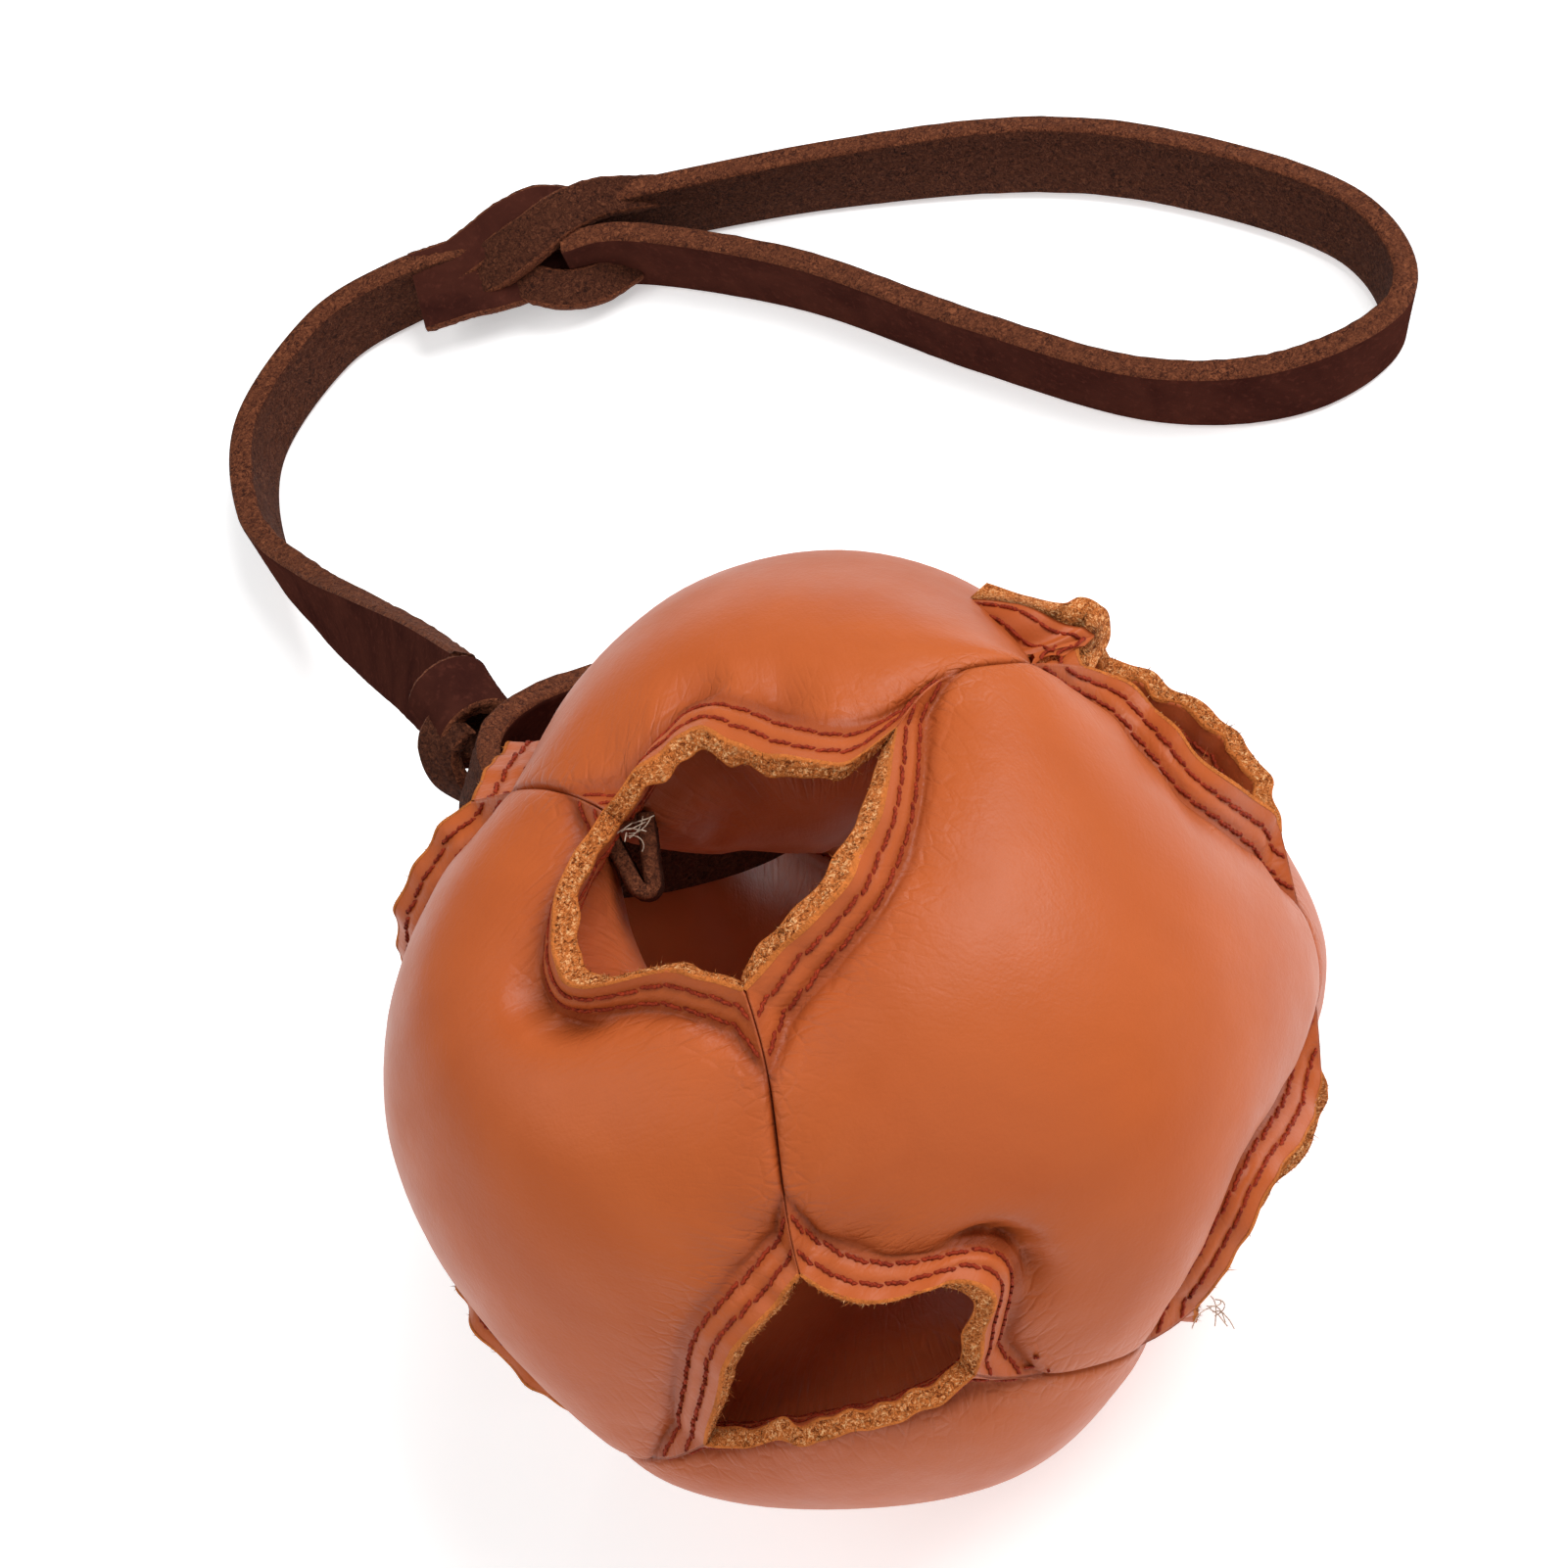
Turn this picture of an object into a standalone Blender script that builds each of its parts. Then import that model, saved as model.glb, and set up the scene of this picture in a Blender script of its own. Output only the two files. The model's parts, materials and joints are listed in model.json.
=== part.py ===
"""Hollow soft grip ball of six stuffed leather pods, with a knotted leather wrist strap.

The pods sit on the faces of a cube whose body diagonal is upright. Each pod is an outer panel and a lining
sewn face to face round an eight-sided outline, with a filling between them. Four short sides of the outline
butt against the next pods, and the four others stay free and edge the eight three-sided openings.
Units are metres, +Z is up, and the origin is on the table below the centre of the ball.
"""
import math

import bpy
import numpy as np
from mathutils import Vector

# ---- ball ----
BALL_CENTRE_Z = 0.0591      # height of the centre of the ball over the table
SEAM_HALF = 0.0405          # from a pod's axis to its butt seams, at the outline
SEAM_HALF_LENGTH = 0.0163   # half the length of a butt seam
SEAM_GAP = 0.0002           # each pod stands back this far from the plane of the seam
CROWN_R = 0.067             # centre of the ball to the middle of an outer panel
LINING_Z = 0.032            # centre of the ball to the middle of a lining
FLANGE_LIFT = 0.0076        # how far the free edge stands up over its two ends
FLANGE_WIDTH = 0.0049       # stitched flat border, measured in the plane of the outline
LEATHER = 0.0015            # thickness of one layer
LAYER_GAP = 0.00042         # half the gap between the two layers of a flange
FLAT_TOP = 0.0575           # the flanges under the ball lie in one plane, this far below its centre

# ---- stitching ----
THREAD_D = 0.0009
THREAD_INSET = 0.0026       # stitch row to free edge
THREAD_LIFT = 0.0004

# ---- strap ----
STRAP_W = 0.014
STRAP_T = 0.004
KNOT_R = 0.0055
KNOT = (-0.0175, 0.0718, 0.0695)
BRAID_SIZE = (0.027, 0.0085, 0.0144)
BRAID_CENTRE = (0.0425, 0.1865, 0.0076)
BRAID_TURN = -24.0          # degrees about Z

# ---- grids ----
SEAM_PARTS = (0.0, 0.207, 0.5, 0.793)   # the second and last are where the flanges meet the seam
FREE_STEPS = 4
PANEL_RINGS = (0.36, 0.64, 0.80, 0.878, 0.94, 1.0)
LINING_RINGS = (0.40, 0.70, 0.878, 0.94, 1.0)
FILLING_RINGS = (0.38, 0.62, 0.77)

THIRD = 1 / math.sqrt(3)


def direction(azimuth, z):
    flat = math.sqrt(1 - z * z)
    turn = math.radians(azimuth)
    return np.array([flat * math.cos(turn), flat * math.sin(turn), z])


PODS = {
    "front": direction(-60, THIRD),
    "left": direction(180, THIRD),
    "top": direction(60, THIRD),
    "back": direction(120, -THIRD),
    "right": direction(0, -THIRD),
    "bottom": direction(-120, -THIRD),
}
NEXT_TO = {"front": "top", "left": "top", "top": "front", "back": "top", "right": "top", "bottom": "left"}


# ---- scene and materials ----
for old in list(bpy.data.objects):
    bpy.data.objects.remove(old, do_unlink=True)


def material(name, colour, roughness):
    made = bpy.data.materials.new(name)
    made.use_nodes = True
    shader = made.node_tree.nodes["Principled BSDF"]
    shader.inputs["Base Color"].default_value = (*colour, 1.0)
    shader.inputs["Roughness"].default_value = roughness
    made.diffuse_color = (*colour, 1.0)
    return made


PANEL_LEATHER = material("panel_leather", (0.52, 0.16, 0.055), 0.45)
LINING_LEATHER = material("lining_leather", (0.33, 0.10, 0.035), 0.5)
FILLING_FIBRE = material("filling_fibre", (0.80, 0.76, 0.68), 0.95)
THREAD = material("stitch_thread", (0.16, 0.02, 0.012), 0.7)
STRAP_LEATHER = material("strap_leather", (0.05, 0.025, 0.02), 0.55)


def add_mesh(name, points, faces, surface):
    mesh = bpy.data.meshes.new(name)
    mesh.from_pydata([tuple(p) for p in points], [], faces)
    mesh.materials.append(surface)
    mesh.update()
    made = bpy.data.objects.new(name, mesh)
    bpy.context.scene.collection.objects.link(made)
    return made


# ---- pod outline and surfaces, in the pod's own axes with its outward direction along z ----
def outline():
    """Points of the eight-sided outline, in order, each side sampled evenly."""
    a = SEAM_HALF - SEAM_GAP
    b = SEAM_HALF_LENGTH
    corners = [(a, -b), (a, b), (b, a), (-b, a), (-a, b), (-a, -b), (-b, -a), (b, -a)]
    points = []
    for side, start in enumerate(corners):
        end = corners[(side + 1) % 8]
        free = [step / FREE_STEPS for step in range(FREE_STEPS)]
        for part in SEAM_PARTS if side % 2 == 0 else free:
            points.append((start[0] + (end[0] - start[0]) * part, start[1] + (end[1] - start[1]) * part))
    return points


def from_free_edge(x, y):
    return (SEAM_HALF + SEAM_HALF_LENGTH - abs(x) - abs(y)) / math.sqrt(2)


def base(x, y):
    """Middle surface between the two layers: level at the seams, raised along the free edges."""
    half = (SEAM_HALF - SEAM_HALF_LENGTH) / math.sqrt(2)
    along = (abs(x) - abs(y)) / math.sqrt(2)
    edge = max(0.0, from_free_edge(x, y))
    lift = FLANGE_LIFT * max(0.0, 1 - (along / half) ** 2)
    reach = min(edge, 0.007)
    return np.array([x, y, SEAM_HALF + lift * (1 + 107 * reach)])


def swell(x, y):
    """0 on the outline and on the flanges, 1 in the middle, and steep beside the seams."""
    seam = max(0.0, SEAM_HALF - SEAM_GAP - max(abs(x), abs(y)))
    crease = max(0.0, from_free_edge(x, y) - FLANGE_WIDTH)
    near = min(seam, crease)
    return math.sqrt(max(0.0, 1 - (1 - min(near / 0.036, 1.0)) ** 2.2))


def placed(local, axes, limit):
    """Turns a local point to the ball's axes, and presses it flat where it would pass the plane under the ball."""
    point = axes @ local
    if point[2] < -limit:
        point = point * (limit / -point[2])
    return point


def middle(x, y, axes):
    return placed(base(x, y), axes, FLAT_TOP)


def outer_skin(x, y, axes):
    start = middle(x, y, axes)
    low = np.linalg.norm(start)
    high = low + LEATHER + LAYER_GAP
    crown = max(high, CROWN_R)
    reach = high + (crown - high) * swell(x, y)
    return placed(start * (reach / low), np.eye(3), BALL_CENTRE_Z)


def lining_skin(x, y, axes):
    start = middle(x, y, axes)
    low = np.linalg.norm(start)
    depth = (axes.T @ start)[2]
    wide = math.hypot(x, y) / SEAM_HALF
    edge = 1 - (LEATHER + LAYER_GAP) / low
    goal = (LINING_Z + 0.006 * wide * wide) / depth
    return start * (edge + (goal - edge) * swell(x, y))


def axes_of(name):
    out = PODS[name]
    side = PODS[NEXT_TO[name]]
    return np.stack([side, np.cross(out, side), out], axis=1)


def to_row(point):
    return point + np.array([0.0, 0.0, BALL_CENTRE_Z])


def disc(rings, skin, axes):
    """Points and faces of a disc lofted from the middle out through the rings to the outline."""
    rim = outline()
    points = [to_row(skin(0.0, 0.0, axes))]
    for ring in rings:
        points += [to_row(skin(x * ring, y * ring, axes)) for x, y in rim]
    count = len(rim)
    faces = [(0, 1 + i, 1 + (i + 1) % count) for i in range(count)]
    for ring in range(len(rings) - 1):
        inner = 1 + ring * count
        outer = inner + count
        for i in range(count):
            j = (i + 1) % count
            faces.append((inner + i, outer + i, outer + j, inner + j))
    return points, faces


def add_layer(name, rings, skin, axes, surface, outward):
    """One layer of leather: the lofted skin, thickened towards the filling."""
    points, faces = disc(rings, skin, axes)
    if not outward:
        faces = [face[::-1] for face in faces]
    made = add_mesh(name, points, faces, surface)
    thick = made.modifiers.new("leather", "SOLIDIFY")
    thick.thickness = LEATHER
    thick.offset = -1.0
    thick.use_rim = True
    thick.use_even_offset = False
    return made


def add_filling(name, axes):
    """Fibre block between the two layers, closed round its side."""
    over = 0.0022
    under = 0.0042

    def upper(x, y, turned):
        skin = outer_skin(x, y, turned)
        return skin * (1 - over / np.linalg.norm(skin))

    def lower(x, y, turned):
        skin = lining_skin(x, y, turned)
        return skin * (1 + under / np.linalg.norm(skin))

    top, top_faces = disc(FILLING_RINGS, upper, axes)
    low, low_faces = disc(FILLING_RINGS, lower, axes)
    count = len(outline())
    first = len(top)
    faces = list(top_faces)
    faces += [tuple(first + i for i in face[::-1]) for face in low_faces]
    start = 1 + (len(FILLING_RINGS) - 1) * count
    for i in range(count):
        j = (i + 1) % count
        faces.append((start + i, first + start + i, first + start + j, start + j))
    return add_mesh(name, top + low, faces, FILLING_FIBRE)


for pod in PODS:
    turned = axes_of(pod)
    add_layer(pod + "_pod_outer_panel", PANEL_RINGS, outer_skin, turned, PANEL_LEATHER, True)
    add_layer(pod + "_pod_lining", LINING_RINGS, lining_skin, turned, LINING_LEATHER, False)
    add_filling(pod + "_pod_filling", turned)


# ---- curves: stitching and strap ----
def add_curve(name, points, surface, closed=False):
    curve = bpy.data.curves.new(name, "CURVE")
    curve.dimensions = "3D"
    line = curve.splines.new("POLY")
    line.points.add(len(points) - 1)
    for spot, point in zip(line.points, points):
        spot.co = (*point, 1.0)
    line.use_cyclic_u = closed
    curve.use_fill_caps = True
    curve.materials.append(surface)
    made = bpy.data.objects.new(name, curve)
    bpy.context.scene.collection.objects.link(made)
    return made


def stitch_row(corner):
    """A ring of thread that runs along the flanges of the three pods round one opening."""
    below = corner[2] < -0.99
    points = []
    around = [name for name in PODS if PODS[name] @ corner > 0.3]
    side = np.cross(corner, PODS[around[0]])
    if PODS[around[1]] @ side < 0:
        around = [around[0], around[2], around[1]]
    for step, name in enumerate(around):
        axes = axes_of(name)
        after = axes.T @ PODS[around[(step + 1) % 3]]
        before = axes.T @ PODS[around[(step + 2) % 3]]
        inset = THREAD_INSET * math.sqrt(2)
        half = (SEAM_HALF - SEAM_HALF_LENGTH + inset) / 2
        middle_sum = (SEAM_HALF + SEAM_HALF_LENGTH - inset) / 2
        for part in (-0.94, -0.62, -0.31, 0.0, 0.31, 0.62, 0.94):
            a = middle_sum + half * part
            b = middle_sum - half * part
            x, y = (after * a + before * b)[:2]
            start = middle(x, y, axes)
            low = np.linalg.norm(start)
            away = LEATHER + LAYER_GAP + THREAD_LIFT + THREAD_D / 2 + 0.0008 * part ** 4
            if below:
                away += 0.0006
            points.append(to_row(start * (1 + (-away if below else away) / low)))
    return points


def signed(a, b, c):
    return np.sign(a) * THIRD, np.sign(b) * THIRD, np.sign(c) * THIRD


CUBE = np.stack([PODS["front"], PODS["left"], PODS["top"]], axis=1)
OPENINGS = {
    "upper": (1, 1, 1),
    "left": (-1, 1, 1),
    "upper_right": (1, -1, 1),
    "front": (1, 1, -1),
    "lower_left": (-1, 1, -1),
    "rear": (-1, -1, 1),
    "lower_right": (1, -1, -1),
    "under": (-1, -1, -1),
}
for opening, signs in OPENINGS.items():
    row = add_curve(opening + "_opening_stitching", stitch_row(CUBE @ np.array(signed(*signs))), THREAD, True)
    row.data.bevel_depth = THREAD_D / 2
    row.data.bevel_resolution = 0


def add_ribbon(name, points, widths, surface, closed=False):
    """A flat strap: a rectangle lofted along points, its long side along the width direction at each one."""
    spots = [Vector(p) for p in points]
    count = len(spots)
    made = []
    for i, spot in enumerate(spots):
        ahead = spots[(i + 1) % count] if closed or i + 1 < count else spot
        behind = spots[i - 1] if closed or i > 0 else spot
        along = (ahead - behind).normalized()
        wide = Vector(widths[i])
        wide = (wide - along * wide.dot(along)).normalized()
        thin = along.cross(wide)
        for across, through in ((-1, -1), (1, -1), (1, 1), (-1, 1)):
            made.append(spot + wide * (across * STRAP_W / 2) + thin * (through * STRAP_T / 2))
    faces = []
    for i in range(count if closed else count - 1):
        a = i * 4
        b = ((i + 1) % count) * 4
        for k in range(4):
            m = (k + 1) % 4
            faces.append((a + k, a + m, b + m, b + k))
    if not closed:
        faces.append((3, 2, 1, 0))
        last = (count - 1) * 4
        faces.append((last, last + 1, last + 2, last + 3))
    return add_mesh(name, made, faces, surface)


def smooth_path(points, steps):
    """Catmull-Rom through the points."""
    spots = [Vector(p) for p in points]
    line = []
    for i in range(len(spots) - 1):
        p0 = spots[max(i - 1, 0)]
        p1 = spots[i]
        p2 = spots[i + 1]
        p3 = spots[min(i + 2, len(spots) - 1)]
        for step in range(steps):
            t = step / steps
            bend = (2 * p1 + (p2 - p0) * t + (2 * p0 - 5 * p1 + 4 * p2 - p3) * t * t)
            line.append((bend + (3 * p1 - p0 - 3 * p2 + p3) * t * t * t) / 2)
    line.append(spots[-1])
    return line


UP = (0.0, 0.0, 1.0)
ON_TABLE = STRAP_W / 2 + 0.0003

# The lead drops from the knot to the table, turns, and stands on its edge up to the braid.
LEAD = [
    (-0.0177, 0.0770, 0.0660),
    (-0.0195, 0.0990, 0.0480),
    (-0.0225, 0.1230, 0.0295),
    (-0.0255, 0.1450, 0.0160),
    (-0.0270, 0.1680, 0.0090),
    (-0.0180, 0.1880, ON_TABLE),
    (0.0020, 0.1980, ON_TABLE),
    (0.0180, 0.1970, ON_TABLE),
    (0.0280, 0.1932, ON_TABLE),
]
lead = smooth_path(LEAD, 3)
lean = [Vector((0.75, 0.30, 0.60)).lerp(Vector(UP), min(1.0, i / 12)) for i in range(len(lead))]
add_ribbon("strap_lead", lead, lean, STRAP_LEATHER)

# The hand loop leaves the braid, goes round, and comes back to it on the near side.
HAND_LOOP = [
    (0.0572, 0.1825, ON_TABLE),
    (0.0880, 0.1640, ON_TABLE),
    (0.1170, 0.1420, ON_TABLE),
    (0.1350, 0.1190, ON_TABLE),
    (0.1470, 0.0920, ON_TABLE),
    (0.1420, 0.0735, ON_TABLE),
    (0.1230, 0.0740, ON_TABLE),
    (0.1040, 0.0890, ON_TABLE),
    (0.0880, 0.1170, ON_TABLE),
    (0.0730, 0.1480, ON_TABLE),
    (0.0545, 0.1735, ON_TABLE),
]
loop = smooth_path(HAND_LOOP, 4)
add_ribbon("strap_hand_loop", loop, [UP] * len(loop), STRAP_LEATHER)

# Slit braid that closes the hand loop.
half = [side / 2 for side in BRAID_SIZE]
corners = [(sx * half[0], sy * half[1], sz * half[2]) for sz in (-1, 1) for sy in (-1, 1) for sx in (-1, 1)]
sides = [(0, 2, 3, 1), (4, 5, 7, 6), (0, 1, 5, 4), (1, 3, 7, 5), (3, 2, 6, 7), (2, 0, 4, 6)]
braid = add_mesh("strap_braid", corners, sides, STRAP_LEATHER)
braid.location = BRAID_CENTRE
braid.rotation_euler[2] = math.radians(BRAID_TURN)
rounding = braid.modifiers.new("rounding", "BEVEL")
rounding.width = 0.0025
rounding.segments = 2

# Closed turn of strap round the bridge between the top and back pods, through the openings on both sides of it.
BRIDGE_ALONG = np.array([math.sqrt(2 / 3), 0.0, -THIRD])
BRIDGE_ACROSS = (THIRD, 0.0, math.sqrt(2 / 3))
turn = []
for step in range(24):
    angle = 2 * math.pi * step / 24
    c = math.cos(angle)
    s = math.sin(angle)
    along = 0.0275 * math.copysign(abs(c) ** 0.85, c)
    out = 0.0514 + 0.0154 * math.copysign(abs(s) ** 0.85, s)
    turn.append(to_row(BRIDGE_ALONG * along + np.array([0.0, out, 0.0])))
add_ribbon("strap_tie", turn, [BRIDGE_ACROSS] * len(turn), STRAP_LEATHER, True)

# Knot outside the left opening, where the lead starts.
bpy.ops.mesh.primitive_uv_sphere_add(segments=16, ring_count=10, radius=KNOT_R, location=KNOT)
knot = bpy.context.object
knot.name = "strap_knot"
knot.data.materials.append(STRAP_LEATHER)

# End of the strap inside the ball, on its edge under the bridge between the left and top pods.
bridge_out = (PODS["left"] + PODS["top"]) / np.linalg.norm(PODS["left"] + PODS["top"])
bridge_up = CUBE @ np.array((1.0, 0.0, 0.0))
inner = []
inner_wide = []
for step in range(8):
    angle = math.radians(-14 + 40 * step / 7)
    out = bridge_out * math.cos(angle) + bridge_up * math.sin(angle)
    inner.append(to_row(out * 0.0425))
    inner_wide.append(tuple(out))
add_ribbon("strap_inner_end", inner, inner_wide, STRAP_LEATHER)
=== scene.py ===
"""Looks of the hollow leather grip ball: stuffed pods, raw flange edges, stitching, and the wrist strap."""
import math

import bpy
import numpy as np
from mathutils import Matrix, Vector
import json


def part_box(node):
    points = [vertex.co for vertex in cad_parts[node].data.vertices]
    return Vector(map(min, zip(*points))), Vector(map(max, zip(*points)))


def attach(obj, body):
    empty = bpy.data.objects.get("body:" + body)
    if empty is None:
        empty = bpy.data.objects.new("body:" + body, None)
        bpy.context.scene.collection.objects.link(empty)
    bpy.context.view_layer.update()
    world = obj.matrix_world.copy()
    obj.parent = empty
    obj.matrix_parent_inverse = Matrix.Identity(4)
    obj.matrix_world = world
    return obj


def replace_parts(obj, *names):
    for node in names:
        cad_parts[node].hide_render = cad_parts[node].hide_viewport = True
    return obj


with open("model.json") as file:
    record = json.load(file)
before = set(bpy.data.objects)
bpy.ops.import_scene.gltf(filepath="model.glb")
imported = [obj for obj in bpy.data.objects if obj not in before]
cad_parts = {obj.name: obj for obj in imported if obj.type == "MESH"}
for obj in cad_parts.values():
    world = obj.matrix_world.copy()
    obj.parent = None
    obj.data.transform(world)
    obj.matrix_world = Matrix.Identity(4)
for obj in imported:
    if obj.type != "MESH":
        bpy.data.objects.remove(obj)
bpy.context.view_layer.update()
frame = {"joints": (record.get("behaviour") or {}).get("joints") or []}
TIE_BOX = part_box("strap_tie")
CENTRE = np.array([0.0, 0.0, (TIE_BOX[0].z + TIE_BOX[1].z) / 2])
KNOT = np.array(frame["joints"][0]["pos_m"])
MM = 0.001

# ---- ball, as in the CAD ----
SEAM_HALF = 0.0405          # the ball's centre to a seam, square to a pod's outward axis
SEAM_HALF_LENGTH = 0.0163
SEAM_GAP = 0.0002
CROWN_R = 0.0652            # how far the middle of a pod reaches from the ball's centre
LINING_DEPTH = 0.0285       # how near the ball's centre a lining bulges
LINING_DEPTHS = {"top": 0.0235}
FLANGE_LIFT = 0.0076        # how far the middle of a free edge stands over its ends
FLANGE_TILT = -0.12         # how steeply a flange rises from its raw edge; negative stands that edge up
TILTS = {
    ("top", "upper"): 0.35,
    ("front", "upper"): 0.0,
    ("left", "upper"): -0.05,
    ("left", "front"): 0.30,
    ("front", "front"): 0.05,
}
LINING_REACH = 0.0021       # how far the lining's cut edge stands out past the panel's
LINING_REACHES = {("front", "upper"): 0.0042, ("front", "front"): 0.0030}
FLANGE_WIDTH = 0.0072       # raw edge to the foot of the stuffed part, along the leather
SKIN = 0.00178              # half the thickness of a flange
FLAT_TOP = 0.0575           # the ball's centre to the middle of the flanges that it rests on
ROW_INSETS = (0.0028, 0.0058)    # raw edge to each row of stitches
ROOT_2 = math.sqrt(2)
THIRD = 1 / math.sqrt(3)
HALF_EDGE = (SEAM_HALF - SEAM_HALF_LENGTH) / ROOT_2


def direction(azimuth, z):
    flat = math.sqrt(1 - z * z)
    turn = math.radians(azimuth)
    return np.array([flat * math.cos(turn), flat * math.sin(turn), z])


PODS = {
    "front": direction(-60, THIRD),
    "left": direction(180, THIRD),
    "top": direction(60, THIRD),
    "back": direction(120, -THIRD),
    "right": direction(0, -THIRD),
    "bottom": direction(-120, -THIRD),
}
NEXT_TO = {"front": "top", "left": "top", "top": "front", "back": "top", "right": "top", "bottom": "left"}
CUBE = np.stack([PODS["front"], PODS["left"], PODS["top"]], axis=1)
OPENINGS = {
    "upper": (1, 1, 1),
    "left": (-1, 1, 1),
    "upper_right": (1, -1, 1),
    "front": (1, 1, -1),
    "lower_left": (-1, 1, -1),
    "rear": (-1, -1, 1),
    "lower_right": (1, -1, -1),
    "under": (-1, -1, -1),
}


def axes_of(name):
    out = PODS[name]
    side = PODS[NEXT_TO[name]]
    return np.stack([side, np.cross(out, side), out], axis=1)


AXES = {name: axes_of(name) for name in PODS}
CORNERS = {name: CUBE @ np.array(signs, float) for name, signs in OPENINGS.items()}


def pods_round(opening):
    return [pod for pod in PODS if PODS[pod] @ CORNERS[opening] > 0.3]


def smooth_step(low, high, value):
    part = np.clip((value - low) / (high - low), 0, 1)
    return part * part * (3 - 2 * part)


def soft_min(a, b, k):
    blend = np.maximum(k - np.abs(a - b), 0) / k
    return np.minimum(a, b) - blend * blend * k / 4


def soft_abs(value, round_off=0.0015):
    return np.sqrt(value * value + round_off ** 2)


class Waves:
    """Smooth noise made of plane waves with seeded directions and phases; about 1 at its peaks."""

    def __init__(self, wavelength, seed, dims=3, count=14):
        draw = np.random.default_rng(seed)
        ways = draw.normal(size=(count, dims))
        ways /= np.linalg.norm(ways, axis=1)[:, None]
        self.ways = ways * (2 * math.pi / (wavelength * draw.uniform(0.7, 1.4, count)))[:, None]
        self.phases = draw.uniform(0, 2 * math.pi, count)

    def __call__(self, points):
        turns = points @ self.ways.T + self.phases
        return np.cos(turns).sum(axis=-1) / math.sqrt(len(self.phases) * 2)


def by_flange(pod, x, y, owns, usual):
    """A value of the nearest flange, blended in the middle of the pod."""
    value = np.full_like(np.asarray(x, float), usual)
    for (name, opening), own in owns.items():
        if name == pod:
            corner = AXES[pod].T @ CORNERS[opening]
            share = smooth_step(-0.008, 0.008, x * np.sign(corner[0]))
            value = value + (own - usual) * share * smooth_step(-0.008, 0.008, y * np.sign(corner[1]))
    return value


def tilt_at(pod, x, y):
    return by_flange(pod, x, y, TILTS, FLANGE_TILT) * bow_at(x, y) ** 0.7


# ---- pod shape: x and y are in the plane of the outline, the result is centred on the ball ----
def bow_at(x, y):
    """1 in the middle of the nearest free edge, 0 at its ends and past them."""
    return np.maximum(0, 1 - ((np.abs(x) - np.abs(y)) / ROOT_2 / HALF_EDGE) ** 2)


def edge_frame(pod, x, y):
    """Along the nearest free edge, across it in the plane, the lift there, and along the leather to it."""
    across = np.maximum(0, (SEAM_HALF + SEAM_HALF_LENGTH - soft_abs(x) - soft_abs(y)) / ROOT_2)
    along = (np.abs(x) - np.abs(y)) / ROOT_2
    lift = FLANGE_LIFT * bow_at(x, y)
    inset = across * np.sqrt(1 + tilt_at(pod, x, y) ** 2)
    return along, across, lift, inset


def seam_distance(x, y):
    return np.maximum(0, SEAM_HALF - SEAM_GAP - np.maximum(np.abs(x), np.abs(y)))


def swell(pod, x, y):
    inset = edge_frame(pod, x, y)[3]
    seam = np.clip(seam_distance(x, y) / 0.036, 0, 1)
    crease = np.clip((inset - FLANGE_WIDTH) / 0.034, 0, 1)
    by_seam = np.sqrt(np.maximum(0, 1 - (1 - seam) ** 2.2))
    by_crease = np.maximum(0, 1 - (1 - crease) ** 2.6) ** 0.62
    return np.clip(soft_min(by_seam, by_crease, 0.22) * 1.04, 0, 1)


def pressed(points, limit):
    """Points under the plane that the ball rests on come up to it, towards the centre of the ball."""
    low = points[..., 2] < -limit
    scale = np.where(low, limit / np.maximum(-points[..., 2], 1e-6), 1.0)
    return points * scale[..., None]


def flange_middle(pod, x, y):
    along, across, lift, inset = edge_frame(pod, x, y)
    z = SEAM_HALF + lift + tilt_at(pod, x, y) * soft_min(across, 0.0085, 0.003)
    return pressed(np.stack([x, y, z], axis=-1) @ AXES[pod].T, FLAT_TOP)


def plain_skin(pod, x, y, layer):
    """layer is 1 for the outer skin, -1 for the lining, 0 for between them."""
    middle = flange_middle(pod, x, y)
    low = np.linalg.norm(middle, axis=-1)
    if layer == 0:
        return middle
    full = swell(pod, x, y)
    if layer > 0:
        high = low + SKIN
        reach = high + (np.maximum(high, CROWN_R) - high) * full
        return pressed(middle * (reach / low)[..., None], CENTRE[2] - 0.0002)
    depth = (middle @ AXES[pod])[..., 2]
    edge = 1 - SKIN / low
    goal = (LINING_DEPTHS.get(pod, LINING_DEPTH) + 0.006 * (np.hypot(x, y) / SEAM_HALF) ** 2) / depth
    out = by_flange(pod, x, y, LINING_REACHES, LINING_REACH) * bow_at(x, y) ** 0.25
    out = out * np.exp(-edge_frame(pod, x, y)[3] / 0.0035) / ROOT_2
    aside = np.stack([np.sign(x) * out, np.sign(y) * out, 0 * out], axis=-1) @ AXES[pod].T
    return middle * (edge + (goal - edge) * full ** 0.75)[..., None] + aside


def corner_of(pod, x, y):
    """Which opening the nearest free edge belongs to, as a number for seeding."""
    return (np.sign(x) > 0) * 1 + (np.sign(y) > 0) * 2 + 4 * list(PODS).index(pod)


LONG_WAVES = [Waves(0.0105, 10 + i, dims=1, count=5) for i in range(24)]
SHORT_WAVES = [Waves(0.0052, 50 + i, dims=1, count=6) for i in range(24)]
FINE_WAVES = Waves(0.0042, 90)
BROAD_WAVES = Waves(0.034, 91)


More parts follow.
